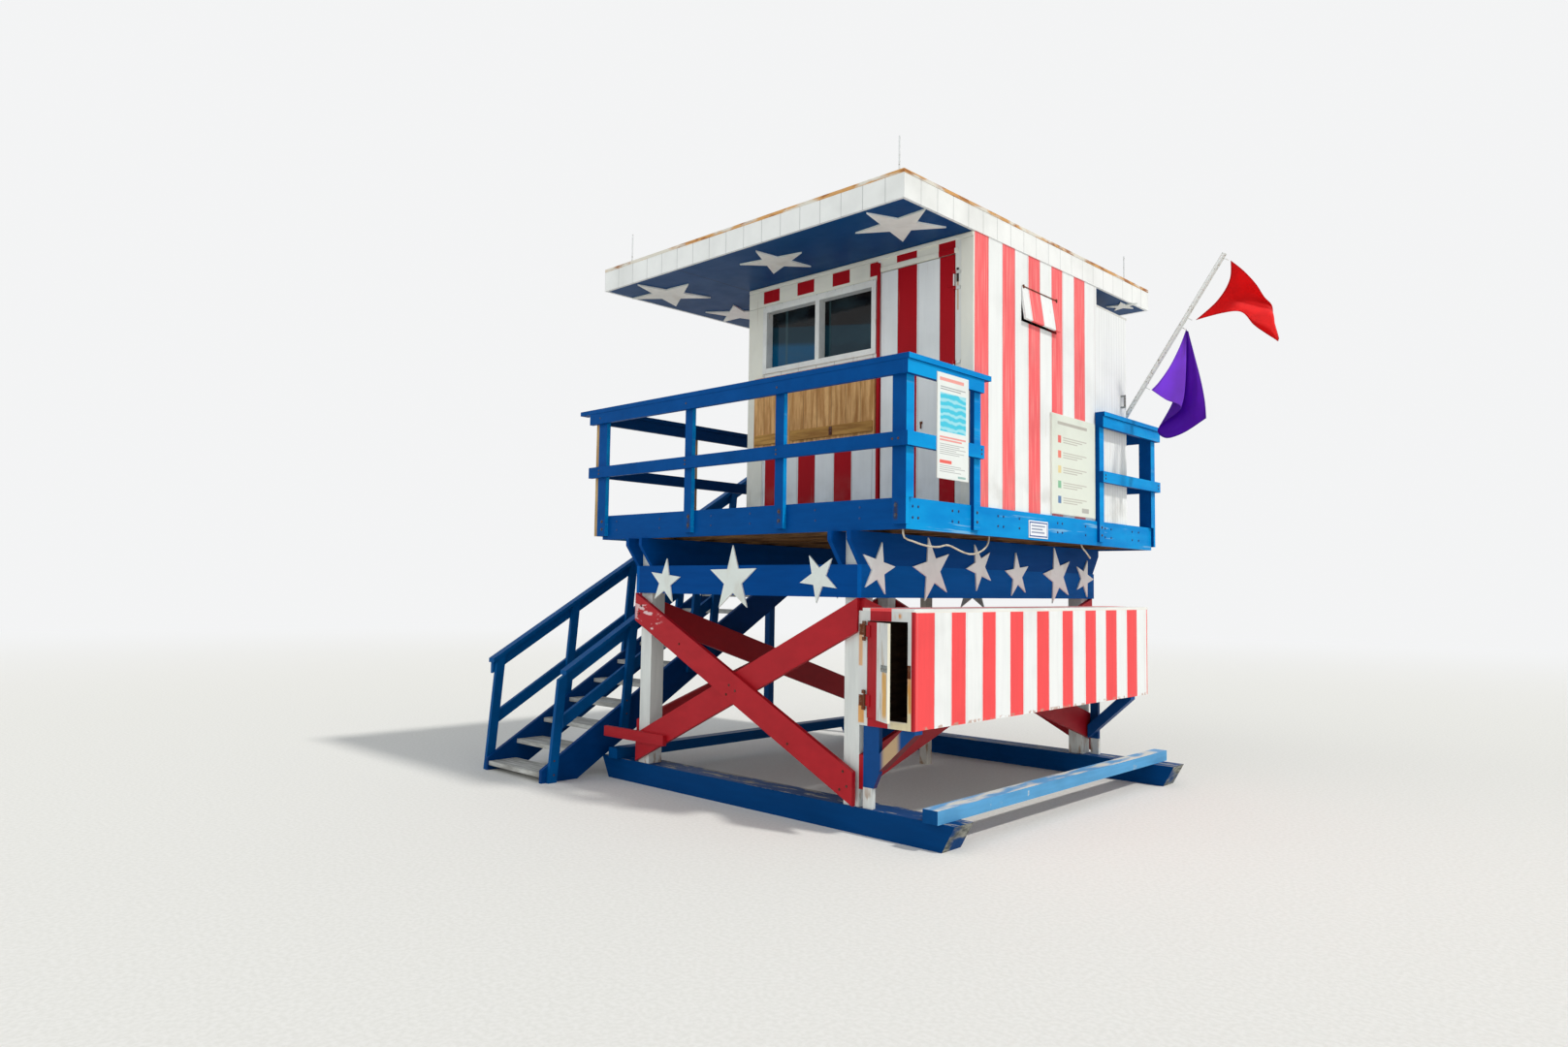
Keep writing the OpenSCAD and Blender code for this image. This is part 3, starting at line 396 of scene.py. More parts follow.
def painted(name, paint, stretch=(1, 1, 1), worn=0.2, bare=OLD_WOOD, grain=0.35, scale=9.0, chip_scale=6.0,
            chip_stretch=(1, 1, 1), joints=(), joint_tint=tint(60, 60, 62), extra=None, rough=(0.42, 0.62),
            top_wear=0.0, specular=0.2):
    """Paint on timber. paint is a colour or a function that makes one; joints are (axis, pitch, start,
    width) in millimetres on the deck; extra adds what only this piece has; top_wear bares the tops."""
    s = Surface(name)
    t = s.tree
    colour = paint(s) if callable(paint) else paint
    streak = use(t, grain_effect, Place=s.place, Stretch=stretch, Scale=scale)
    blotch = s.noise(1.7, 4.0)
    shade = times(t, calc(t, "SUBTRACT", 1.0, streak), grain)
    colour = mix(t, shade, colour, darker(t, colour, (0.62, 0.62, 0.64)))
    colour = mix(t, fade(t, blotch, 0.45, 0.8), colour, darker(t, colour, (0.86, 0.86, 0.85)))
    spread = stretch_place(t, s.place, chip_stretch)
    chipped = use(t, chips_effect, Place=spread, Scale=chip_scale, Level=chip_level(worn))
    if top_wear:
        upper = fade(t, s.facing["z"], 0.5, 0.9)
        more = use(t, chips_effect, Place=spread, Scale=chip_scale * 1.6, Level=chip_level(top_wear))
        chipped = most(t, chipped, times(t, upper, more))
    colour = mix(t, chipped, colour, mix(t, streak, bare, darker(t, bare, (0.6, 0.58, 0.55))))
    height = calc(t, "SUBTRACT", times(t, streak, 0.35), times(t, chipped, 0.3))
    for axis, pitch, start, width in joints:
        gap = joint(s, axis, pitch, start, width)
        gap = times(t, gap, fade(t, calc(t, "ABSOLUTE", s.facing[axis]), 0.7, 0.4))
        colour = mix(t, times(t, gap, 0.75), colour, joint_tint)
        height = calc(t, "SUBTRACT", height, times(t, gap, 2.0))
    if extra:
        colour = extra(s, colour)
    gloss = add(t, "MapRange", {"Value": most(t, chipped, shade), "To Min": rough[0], "To Max": rough[1]})
    s.shader.inputs["Specular IOR Level"].default_value = specular
    return s.finish(colour, height, gloss.outputs[0])


def dress(node, material):
    """Gives a node of the frame its finish."""
    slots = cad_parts[node].data.materials
    slots.clear()
    slots.append(material)


BLUE = tint(0, 76, 146)
GREY_WOOD = tint(176, 172, 162)


def end_grain(s, colour):
    raw = fade(s.tree, calc(s.tree, "ABSOLUTE", s.facing["x"]), 0.5, 0.8)
    left = fade(s.tree, s.noise(4.0, 6.0, (1, 1, 2)), 0.40, 0.56)
    rings = fade(s.tree, s.noise(5.0, 5.0, (1, 3, 9)), 0.35, 0.65)
    sawn = mix(s.tree, rings, tint(84, 88, 84), tint(150, 150, 140))
    return mix(s.tree, times(s.tree, raw, left), colour, sawn)


dress("skids", painted("skid_paint", tint(0, 63, 120), (0.25, 2.2, 2.2), worn=0.26, bare=GREY_WOOD,
                       top_wear=0.75, extra=end_grain, chip_stretch=(0.3, 1.6, 1.6), specular=0.04))


def sunny_side(s):
    """1 on the ties beyond the right posts, which stand in the sun: where the ties get painted sunlight."""
    return fade(s.tree, s.axis["x"], 1.0, 1.1)


def bleached_and_painted_sunlit_tops(s, colour):
    """Paler tops on the sunny ties: partly paint bleached by the weather, partly painted sunlight."""
    t = s.tree
    upper = times(t, fade(t, s.facing["z"], 0.4, 0.8), sunny_side(s))
    patchy = fade(t, s.noise(7.0, 6.0, (2, 0.4, 2)), 0.42, 0.6)
    return mix(t, upper, colour, mix(t, patchy, tint(96, 158, 208), tint(214, 214, 206)))


# The sunny ties' right-hand sides are painted a far paler blue than their ends and the ties in shade:
# painted sunlight, besides some real bleaching.
def tie_coat_with_painted_sunlit_side(s):
    sunny = times(s.tree, fade(s.tree, s.facing["x"], 0.4, 0.8), sunny_side(s))
    return mix(s.tree, sunny, tint(0, 72, 130), tint(92, 162, 210))


dress("skid_ties", painted("tie_paint", tie_coat_with_painted_sunlit_side, (2.2, 0.25, 2.2), worn=0.45, bare=tint(206, 212, 210),
                           extra=bleached_and_painted_sunlit_tops, specular=0.06))


# Posts and prop.
# Square white posts, bolted to the beams, with brown weather stains where the paint has gone.
# A slender prop stands under the middle, with its foot on the ground.
WHITE = tint(238, 240, 238)


def rusty_foot(s, colour):
    t = s.tree
    low = fade(t, s.axis["z"], 0.42, 0.2)
    stain = fade(t, s.noise(11.0, 6.0, (1.6, 1.6, 0.6)), 0.5, 0.66)
    return mix(t, times(t, low, stain, 0.8), colour, tint(150, 108, 62))


dress("posts", painted("post_paint", tint(224, 227, 222), (2.5, 2.5, 0.25), worn=0.3,
                       bare=tint(170, 150, 122), extra=rusty_foot, chip_scale=5.0))
dress("centre_prop", painted("prop_paint", tint(214, 210, 198), (2.5, 2.5, 0.25), worn=0.35,
                             bare=tint(160, 142, 116), extra=rusty_foot))


# Crossed braces.
# Red boards cross on all four sides, nailed to the posts and bolted together where they meet.
# The front pair has lost paint near its upper left end and along its edges.
RED = tint(178, 22, 34)


def scraped_end(s, colour):
    t = s.tree
    spot = s.area(60, x=(-1235, -900), z=(1300, 1640))
    scar = fade(t, s.noise(6.0, 7.0, (1, 1, 2.4)), 0.55, 0.6)
    return mix(t, times(t, spot, scar), colour, tint(222, 190, 190))


dress("front_brace", painted("front_brace_paint", RED, (0.6, 2, 1.2), worn=0.22, bare=tint(120, 92, 84),
                             extra=scraped_end))
plain_red = painted("brace_paint", tint(176, 22, 34), (0.6, 0.6, 1.2), worn=0.2, bare=tint(110, 84, 76))
for node in ("rear_brace", "side_braces"):
    dress(node, plain_red)
dress("stair_tie", painted("stair_tie_paint", RED, (0.3, 2, 2), worn=0.34, bare=tint(128, 100, 92),
                           top_wear=0.5))


def new_piece(name, bm, material, body="tower", smooth=False):
    """Turns a finished bmesh into a piece that rides on a body."""
    mesh = bpy.data.meshes.new(name)
    bmesh.ops.recalc_face_normals(bm, faces=bm.faces)
    for face in bm.faces:
        face.smooth = smooth
    bm.to_mesh(mesh)
    bm.free()
    mesh.materials.append(material)
    made = bpy.data.objects.new(name, mesh)
    bpy.context.scene.collection.objects.link(made)
    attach(made, body)
    return made


WASHER = 1.6
HEAD_TAPER = 0.93


def bolt(bm, place, toward, size=9):
    """A washer and a six-sided bolt head on a face that looks toward a direction."""
    turned = Vector(toward).to_track_quat("Z", "Y").to_matrix().to_4x4()
    for sides, radius, low, high in ((14, size * 1.5, 0, WASHER), (6, size, WASHER, size * 0.75)):
        middle = at(*place) + Vector(toward) * (low + high) / 2000
        bmesh.ops.create_cone(bm, cap_ends=True, segments=sides, radius1=radius / 1000,
                              radius2=radius * HEAD_TAPER / 1000, depth=(high - low) / 1000,
                              matrix=Matrix.Translation(middle) @ turned)


def rust(name, clean, rusty, share=0.5):
    s = Surface(name)
    t = s.tree
    eaten = fade(t, s.noise(60.0, 6.0), 0.62 - share * 0.3, 0.7 - share * 0.3)
    clean, rusty = (made(s) if callable(made) else made for made in (clean, rusty))
    s.shader.inputs["Metallic"].default_value = 0.35
    gloss = add(t, "MapRange", {"Value": eaten, "To Min": 0.42, "To Max": 0.85})
    return s.finish(mix(t, eaten, clean, rusty), eaten, gloss.outputs[0], bump=0.5, depth=0.001)


dark_bolts = rust("bolt_steel", tint(92, 60, 52), tint(84, 44, 30), 0.6)
FRONT, RIGHT = (0, -1, 0), (1, 0, 0)
FRONT_BRACE_BOLTS = ((-1150, 1545), (-1175, 1480), (-30, 945), (40, 905), (-60, 870), (1150, 430),
                     (1185, 330), (1120, 300), (-640, 1240), (610, 560))
SIDE_BRACE_BOLTS = ((150, 1500), (200, 1440), (1840, 1000), (1900, 930), (3540, 420))

bm = bmesh.new()
for x, z in FRONT_BRACE_BOLTS:
    bolt(bm, (x, 23.5, z), FRONT, 7)
for y, z in SIDE_BRACE_BOLTS:
    bolt(bm, (1273, y, z), RIGHT, 7)
new_piece("brace_bolts", bm, dark_bolts)


# Beams and joists.
# Long deck beams run from front to rear on blue cross beams; plain brown joists and the bare
# underside of the deck boards show between them.
BEAM_BLUE = tint(0, 71, 142)
# The side beams get a brighter blue than the others: painted light, standing for light thrown up from the
# ground under the deck.
for node, name, coat, grain_run, bare in (
        ("deck_beams", "beam_paint_long", BEAM_BLUE, (2.2, 0.22, 2.2), tint(50, 84, 118)),
        ("cross_beams", "beam_paint_wide", BEAM_BLUE, (0.22, 2.2, 2.2), tint(50, 84, 118)),
        ("side_beams", "side_beam_painted_bounce", tint(0, 92, 172), (2.2, 0.22, 2.2), tint(50, 90, 130))):
    dress(node, painted(name, coat, grain_run, worn=0.14, bare=bare, specular=0.03))


def timber(name, light, dark, stretch, joints=(), scale=11.0, rough=(0.7, 0.9), extra=None):
    """Bare timber, with its grain along the board."""
    s = Surface(name)
    t = s.tree
    streak = use(t, grain_effect, Place=s.place, Stretch=stretch, Scale=scale)
    fine = use(t, grain_effect, Place=s.place, Stretch=stretch, Scale=scale * 4)
    colour = mix(t, streak, dark, light)
    colour = mix(t, times(t, fine, 0.35), colour, dark)
    colour = mix(t, fade(t, s.noise(1.4, 3.0), 0.4, 0.75), colour, darker(t, colour, (0.72, 0.7, 0.66)))
    height = calc(t, "ADD", streak, times(t, fine, 0.5))
    for axis, pitch, start, width in joints:
        gap = joint(s, axis, pitch, start, width)
        colour = mix(t, times(t, gap, 0.85), colour, tint(28, 22, 18))
        height = calc(t, "SUBTRACT", height, times(t, gap, 3.0))
    if extra:
        colour = extra(s, colour)
    gloss = add(t, "MapRange", {"Value": streak, "To Min": rough[0], "To Max": rough[1]})
    s.shader.inputs["Specular IOR Level"].default_value = 0.25
    return s.finish(colour, height, gloss.outputs[0])


JOIST_WOOD = tint(176, 132, 84)
dress("floor_joists", timber("joist_wood", JOIST_WOOD, tint(92, 64, 40), (0.25, 2.4, 2.4)))


# Stars.
# Five-pointed stars sawn from board, painted cream and screwed flat on the beams and under the
# roof, each cut a little differently. Their edges have picked up brown dirt.
def grimy(s, colour):
    t = s.tree
    stain = fade(t, s.noise(5.0, 6.0, (1, 1, 0.5)), 0.5, 0.75)
    return mix(t, times(t, stain, 0.35), colour, tint(178, 160, 132))


def star_coat_lit_and_shaded(s):
    """One cream paint in three copies by the way a face turns: a brighter cream facing down under the roof
    and a whiter one on the sunny side, both painted light, and a greyer one in front, painted shade.
    """
    t = s.tree
    upright = mix(t, fade(t, s.facing["x"], 0.5, 0.8), tint(226, 232, 226), tint(248, 251, 249))
    return mix(t, fade(t, s.facing["z"], -0.5, -0.8), upright, tint(250, 247, 238))


cream_star = painted("star_paint", star_coat_lit_and_shaded, (1, 1, 1), worn=0.12, bare=tint(176, 160, 136), grain=0.15,
                     extra=grimy)
dress("beam_stars", cream_star)
dress("soffit_stars", cream_star)


# Deck.
# Boards laid front to rear on the joists, closed by a blue edge board with bolts through it.
# The boards' undersides are bare and dark; the edge board's sunny side is paler, with pale scratches, partly
# bleached paint and partly painted sunlight.
def bare_below(s, colour):
    t = s.tree
    below = fade(t, s.facing["z"], -0.5, -0.9)
    streaky = fade(t, s.noise(6.0, 5.0, (5, 0.4, 1)), 0.35, 0.65)
    return mix(t, below, colour, mix(t, streaky, tint(116, 86, 54), tint(178, 138, 90)))


dress("deck_floor", painted("deck_boards", tint(60, 104, 148), (2.4, 0.25, 1), worn=0.5, bare=GREY_WOOD,
                            joints=[("x", 140, -1705, 4)], joint_tint=tint(20, 20, 22), extra=bare_below))


def bleached_and_painted_sunny_sides(s, colour, scratches=0.65):
    """The right-hand sides and the tops are a paler, greener blue, partly paint that years of sun have
    bleached and partly painted sunlight; pale scratches show only on those sunny sides.
    """
    t = s.tree
    sunny = most(t, fade(t, s.facing["x"], 0.5, 0.9), fade(t, s.facing["z"], 0.5, 0.9))
    cloudy = fade(t, s.noise(2.6, 6.0, (1, 0.5, 2.2)), 0.3, 0.7)
    pale = mix(t, cloudy, tint(2, 132, 208), tint(14, 161, 228))
    colour = mix(t, times(t, sunny, 0.85), colour, pale)
    scratch = fade(t, s.noise(6.0, 9.0, (1.2, 0.22, 4.5)), 0.6, 0.68)
    return mix(t, times(t, sunny, scratch, scratches), colour, tint(140, 190, 218))


dress("deck_fascia", painted("edge_board_paint", BLUE, (0.5, 0.5, 2.2), worn=0.16, bare=tint(70, 110, 150),
                             top_wear=0.3, extra=bleached_and_painted_sunny_sides, specular=0.04))

DECK_RIGHT = 1705
bm = bmesh.new()
for y in (75, 140, 560, 640, 1180, 1260, 1500, 2120, 2200, 2620, 3000, 3120, 3560, 3700):
    for z in (2215, 2292):
        bolt(bm, (DECK_RIGHT, y, z), RIGHT, 7)
for x in (-1500, -900, -250, 200, 880, 1300):
    for z in (2218, 2296):
        bolt(bm, (x, 0, z), FRONT, 6)
new_piece("edge_board_bolts", bm, rust("blue_bolts", tint(20, 70, 130), tint(78, 60, 60), 0.35))


# Locker.
# A long plywood box, striped red and white, hangs on the right posts. The small door in its end
# stands ajar on rusty hinges, and the cut edges of its frame are raw, yellow and stained.
# This coral and the darker red on the locker's frame and leaf are one paint: the coral, on the sunny side
# and top, is painted sunlight, and the red at the shaded end is painted shade.
SUNLIT_CORAL = tint(244, 78, 80)
LOCKER_STRIPES = [(80, 312), (528, 714), (929, 1109), (1332, 1518), (1740, 1928), (2158, 2344),
                  (2573, 2765), (2973, 3175), (3389, 3597), (3815, 3870)]
END_STRIPE = (1341, 1529)
PLYWOOD_BARE = tint(196, 178, 150)


def locker_paint(s):
    return mix(s.tree, s.stripes("y", LOCKER_STRIPES), WHITE, SUNLIT_CORAL)


def locker_edges(s, colour):
    """A white upper edge, and chipped red along the lower one."""
    t = s.tree
    upper = s.band("z", 1562, 1600, 2)
    chip = fade(t, s.noise(18.0, 6.0), 0.52, 0.6)
    low = times(t, s.band("z", 755, 782, 8), chip)
    colour = mix(t, upper, colour, tint(232, 226, 216))
    return mix(t, times(t, low, 0.8), colour, tint(186, 150, 132))


dress("locker_face", painted("locker_face_paint", locker_paint, (1, 2.2, 0.22), worn=0.06, grain=0.16,
                             bare=tint(222, 180, 160), joints=[("y", 203.4, 121, 3)],
                             joint_tint=tint(214, 150, 146), extra=locker_edges, rough=(0.5, 0.65)))


def top_stripe(s):
    """One red stripe runs along the top, as wide as the one on the end."""
    return mix(s.tree, s.band("x", *END_STRIPE), tint(236, 236, 230), SUNLIT_CORAL)


for node, name, coat in (("locker_top", "locker_top_paint", top_stripe),
                         ("locker_far_end", "locker_white", tint(232, 232, 226))):
    dress(node, painted(name, coat, (2, 0.3, 1), worn=0.16, bare=PLYWOOD_BARE, grain=0.2))


def painted_outside(s, colour):
    return mix(s.tree, fade(s.tree, s.facing["x"], -0.5, -0.8), colour, tint(214, 214, 206))


for node, outside in (("locker_floor", None), ("locker_back", painted_outside)):
    dress(node, timber(node + "_plywood", tint(84, 72, 56), tint(48, 40, 30), (0.4, 0.4, 2), extra=outside))


def frame_paint(s):
    """White, but red over and under the leaf's red half and on the end of the long side board,
    and gone yellow round the lower right corner."""
    t = s.tree
    above = s.area(2, x=END_STRIPE, z=(1498, 1600))
    below = s.area(2, x=(1322, 1501), z=(740, 816))
    board_end = s.area(1.5, x=(1698, 1730), z=(740, 1600))
    yellow = most(t, s.area(30, x=(1640, 1730), z=(700, 1060)), s.area(12, x=(1520, 1730), z=(700, 812)))
    white = mix(t, yellow, tint(222, 224, 220), tint(236, 224, 184))
    # The red here is the locker's red written darker: painted shade.
    return mix(t, most(t, above, below, board_end), white, RED)


def frame_rust(s, colour):
    t = s.tree
    runs = s.noise(12.0, 6.0, (3.0, 1, 0.3))
    under_upper = times(t, s.area(8, x=(1240, 1276), z=(1180, 1400)), 0.8)
    under_lower = s.area(8, x=(1238, 1292), z=(780, 905))
    hinge_side = times(t, calc(t, "ADD", under_upper, under_lower), fade(t, runs, 0.2, 0.4))
    latch_side = times(t, s.area(9, x=(1666, 1696), z=(880, 1120)), fade(t, runs, 0.24, 0.46))
    nail = times(t, s.area(14, x=(1560, 1612), z=(1520, 1552)), fade(t, runs, 0.45, 0.55))
    rusted = times(t, most(t, hinge_side, latch_side, nail), 0.9)
    return mix(t, rusted, colour, mix(t, runs, tint(236, 178, 76), tint(198, 112, 32)))


dress("locker_door_frame", painted("locker_frame_paint", frame_paint, (2.2, 1, 0.3), worn=0.22,
                                   bare=tint(206, 180, 130), extra=frame_rust, grain=0.25))

LEAF_HINGE = (1303, 66)
AJAR = math.radians(28)
ALONG_LEAF = (math.cos(AJAR), -math.sin(AJAR), 0)


def leaf_paint(s):
    """Red to the middle and white beyond, with rust under the hasp. The marks are measured along
    the leaf from its hinge, in metres."""
    t = s.tree
    along = add(t, "VectorMath", {0: s.place, 1: ALONG_LEAF}, operation="DOT_PRODUCT")
    u = calc(t, "SUBTRACT", along.outputs["Value"], at(*LEAF_HINGE, 0).dot(Vector(ALONG_LEAF)))
    # The leaf's red is the locker's red written darker: painted shade.
    coat = mix(t, fade(t, u, 0.176, 0.180), RED, tint(226, 229, 225))
    run = s.noise(14.0, 6.0, (3, 3, 0.3))
    lines = times(t, fade(t, u, 0.185, 0.20), fade(t, run, 0.54, 0.64))
    coat = mix(t, times(t, lines, 0.6), coat, tint(178, 150, 110))
    under = times(t, fade(t, u, 0.256, 0.278), fade(t, u, 0.346, 0.334), s.band("z", 850, 1160, 30))
    under = times(t, under, fade(t, run, 0.28, 0.44), 0.9)
    coat = mix(t, under, coat, tint(226, 172, 84))
    turned_out = calc(t, "SUBTRACT", times(t, s.facing["x"], math.cos(AJAR)),
                      times(t, s.facing["y"], math.sin(AJAR)))
    raw_edge = times(t, fade(t, turned_out, 0.6, 0.8), fade(t, u, 0.2, 0.25))
    coat = mix(t, raw_edge, coat, tint(240, 234, 210))
    return mix(t, fade(t, u, 0.0135, 0.0115), coat, tint(104, 62, 38))


dress("locker_door", painted("locker_leaf_paint", leaf_paint, (1, 1, 0.3), worn=0.16,
                             bare=tint(186, 164, 130)))


def block(bm, low, high, edge=2.0):
    """A board between two corners, in millimetres on the deck, with its edges eased."""
    made = bmesh.ops.create_cube(bm, size=1)["verts"]
    a, b = at(*low), at(*high)
    bmesh.ops.scale(bm, vec=b - a, verts=made)
    bmesh.ops.translate(bm, vec=(a + b) / 2, verts=made)
    if edge:
        sides = list({e for v in made for e in v.link_edges})
        bmesh.ops.bevel(bm, geom=sides, offset=edge / 1000, offset_type="OFFSET", segments=1, profile=0.5,
                        affect="EDGES", material=-1, clamp_overlap=True)


# The hasp's staple and the hinge leaves on the locker's frame
bm = bmesh.new()
block(bm, (1669, 76, 1114), (1695, 79.8, 1204), 1)
for z in (1128, 1190):
    bolt(bm, (1682, 76, z), FRONT, 4)
rusty_iron = rust("rusty_iron", tint(120, 84, 62), tint(112, 56, 26), 0.8)
for z in (1396, 898):
    block(bm, (1244, 78, z), (1292, 80, z + 78), 0.5)
    for lift in (16, 62):
        bolt(bm, (1262, 78, z + lift), FRONT, 3)
new_piece("locker_irons", bm, rusty_iron)

# The hasp's strap, screwed on the leaf's outer edge and swinging with it
bm = bmesh.new()
x, y = LEAF_HINGE
block(bm, (x + 252, y + 10.6, 1160), (x + 350, y + 14, 1206), 1)
for along in (266, 290, 336):
    bolt(bm, (x + along, y + 10.6, 1183), FRONT, 4)
bmesh.ops.rotate(bm, cent=at(x, y, 0), matrix=Matrix.Rotation(-AJAR, 3, "Z"), verts=bm.verts)
new_piece("locker_hasp", bm, rust("hasp_metal", tint(150, 158, 154), tint(112, 96, 78), 0.3),
          body="locker_door")


# This red is written darker than the same paint on the right wall: painted shade on the front wall, its
# door, frieze, trim and hinges.
SHADED_WALL_RED = tint(174, 12, 26)


def at_front_door(s, on_locker, on_hut):
    return mix(s.tree, fade(s.tree, s.axis["z"], 2.2, 2.3), on_locker, on_hut)


def pin_coat(s):
    """Bare and rusty on the locker, painted over with the wall's stripes at the front door."""
    wall = mix(s.tree, s.area(1, x=(1370, 1531), z=(2350, 4400)), tint(214, 216, 212), SHADED_WALL_RED)
    return at_front_door(s, tint(92, 66, 50), wall)


def pin_rust(s):
    return at_front_door(s, tint(122, 60, 26), pin_coat(s))


dress("hinge_pins", rust("hinge_metal", pin_coat, pin_rust, 0.7))


def bare_strut(s, colour):
    """The front strut's middle has never been painted, and red has been brushed under it."""
    t = s.tree
    bare = s.area(25, x=(1440, 1580), y=(60, 190), z=(430, 762))
    bare = times(t, bare, fade(t, s.noise(5.0, 5.0), 0.3, 0.38))
    under = times(t, fade(t, s.facing["z"], -0.3, -0.6), s.band("y", 60, 260, 5))
    colour = mix(t, bare, colour, tint(186, 158, 122))
    return mix(t, under, colour, tint(112, 20, 30))


dress("locker_brackets", painted("bracket_paint", tint(8, 72, 136), (1, 1, 1), worn=0.3,
                                 bare=tint(150, 136, 116), chip_scale=4.0, extra=bare_strut, specular=0.12))


# Stair.
# Thirteen open treads of grey weathered board between two blue stringers, with leaning posts,
# two boards and a flat cap on each side.
# The stringers get a darker blue than the railings: painted shade, for the tower's shadow over the stair.
dress("stair_stringers", painted("stringer_painted_shade", tint(0, 61, 122), (0.6, 0.6, 1.2), worn=0.3,
                                 bare=tint(32, 68, 106), top_wear=0.5, specular=0.05))
dress("stair_treads", timber("tread_wood", tint(216, 216, 210), tint(150, 148, 142), (0.25, 2.4, 1),
                             scale=14.0))
dress("stair_railings", painted("stair_rail_paint", tint(0, 82, 144), (0.8, 0.8, 0.8), worn=0.2,
                                bare=tint(54, 116, 160), top_wear=0.5, specular=0.05))

DECK_TOP = 2350
STAIR_HEAD = 3250
STAIR_RISE, STAIR_GOING = 174.4, 290
NEAR_STRINGER = -1721
bm = bmesh.new()
for post_foot in (-484, 292):
    slope_z = DECK_TOP + (post_foot + 40 - STAIR_HEAD) * STAIR_RISE / STAIR_GOING
    for lift in (-60, 60):
        bolt(bm, (NEAR_STRINGER, post_foot + 45, slope_z + lift), RIGHT, 6)
new_piece("stair_bolts", bm, dark_bolts)


# Railings and landing.
# Posts bolted outside the deck's edge, a middle and an upper board, and a flat cap. All blue, but
# the posts outside the left railing are bare brown timber.
FOOT_BOLTS = (-1672, -489, 546, 1644)


def painted_sun_and_foot_stains(s, colour):
    """Paler sunny sides, partly bleached paint and partly painted sunlight, and brown runs from the bolts at
    the feet of the front posts.
    """
    t = s.tree
    colour = bleached_and_painted_sunny_sides(s, colour, 0.12)
    runs = fade(t, s.noise(20.0, 6.0, (2, 1, 0.5)), 0.36, 0.52)
    for x in FOOT_BOLTS[1:]:
        foot = s.area(12, x=(x - 17, x + 17), y=(-60, -30), z=(2196, 2318))
        colour = mix(t, times(t, foot, runs, 0.75), colour, tint(58, 50, 44))
    return colour


rail_blue = painted("rail_paint", BLUE, (0.9, 0.9, 0.9), worn=0.12, bare=tint(50, 96, 144), top_wear=0.2,
                    extra=painted_sun_and_foot_stains, specular=0.04)
for node in ("front_railing", "right_railings", "rear_railing"):
    dress(node, rail_blue)
# The left railing and the landing get a darker blue than the other railings: painted shade, for the hut's
# shadow over them.
painted_shade_rail = painted("shaded_rail_paint", tint(0, 54, 104), (0.9, 0.9, 0.9), worn=0.12, bare=tint(34, 68, 104),
               top_wear=0.2, specular=0.04)
for node in ("left_railing", "landing_railing", "landing"):
    dress(node, painted_shade_rail)
dress("left_railing_posts", timber("bare_post_wood", tint(218, 190, 138), tint(160, 124, 78),
                                   (2.4, 2.4, 0.25)))

FRONT_BOARDS = -76.5
RIGHT_BOARDS = 1768.5
bm = bmesh.new()
for x in (-1684, -501, 542):
    for z in (2730, 2762, 3240):
        bolt(bm, (x, FRONT_BOARDS, z), FRONT, 6)
for z in (2226, 2296):
    for x in FOOT_BOLTS:
        bolt(bm, (x, -38, z), FRONT, 10)
    for y in (848, 2885):
        bolt(bm, (1730, y, z), RIGHT, 8)
for x in (1640, 1690):
    bolt(bm, (x, FRONT_BOARDS, 2746), FRONT, 6)
for y in (848, 2885, 4020):
    for z in (2730, 2762):
        bolt(bm, (RIGHT_BOARDS, y, z), RIGHT, 6)
new_piece("railing_bolts", bm, rust("railing_bolt_steel", tint(52, 66, 88), tint(96, 70, 58), 0.5))


# Hut walls.
# Grooved plywood siding, painted in upright red and white stripes that end on the grooves, with
# white boards at the corners. A closet of finer siding stands behind.
FRONT_STRIPES = [(-494, -367), (-95, 103), (316, 505), (760, 822)]
RIGHT_STRIPES = [(870, 1070), (1270, 1460), (1675, 1864), (2060, 2246), (2456, 2655)]
# This coral is the same paint as the front's red, written lighter: painted sunlight, used on the side walls
# and round the front corner.
SUNLIT_WALL_RED = tint(244, 104, 106)


def front_paint(s):
    low = times(s.tree, s.stripes("x", FRONT_STRIPES), s.band("z", 2300, 3600))
    return mix(s.tree, low, WHITE, SHADED_WALL_RED)


def damp(s, colour):
    """Grey dirt low on a wall and thin brown runs."""
    t = s.tree
    low = times(t, fade(t, s.axis["z"], 2.75, 2.38), fade(t, s.noise(5.0, 5.0), 0.4, 0.7))
    run = times(t, fade(t, s.noise(10.0, 5.0, (5, 5, 0.18)), 0.66, 0.76), 0.35)
    colour = mix(t, times(t, low, 0.3), colour, tint(140, 132, 118))
    return mix(t, run, colour, tint(172, 142, 108))


siding = dict(worn=0.06, bare=tint(200, 190, 170), grain=0.14, scale=7.0, extra=damp, rough=(0.5, 0.68),
              specular=0.1)
dress("front_wall", painted("front_wall_paint", front_paint, (2.4, 1, 0.2),
                            joints=[("x", 206.5, -103, 3.5)], joint_tint=tint(110, 112, 116), **siding))

FRIEZE_WHITE = tint(240, 238, 224)


def header_paint(s):
    t = s.tree
    small = s.area(1.5, x=(961, 1159), z=(4353, 4411))
    tall = s.area(1.5, x=(1366, 1547), z=(4307, 4413))
    return mix(t, most(t, small, tall), FRIEZE_WHITE, SHADED_WALL_RED)


dress("front_wall_header", painted("header_paint", header_paint, (0.3, 1, 2.4), **siding))


def brushed_sunlit_wall_red(s):
    """The wall red in a lighter copy that stands for sunlight, as painted light, with brush marks letting a
    paler coat through.
    """
    t = s.tree
    marks = fade(t, s.noise(9.0, 6.0, (1, 7, 0.25)), 0.42, 0.72)
    return mix(t, times(t, marks, 0.6), SUNLIT_WALL_RED, tint(250, 162, 158))


def right_paint(s):
    return mix(s.tree, s.stripes("y", RIGHT_STRIPES), WHITE, brushed_sunlit_wall_red(s))


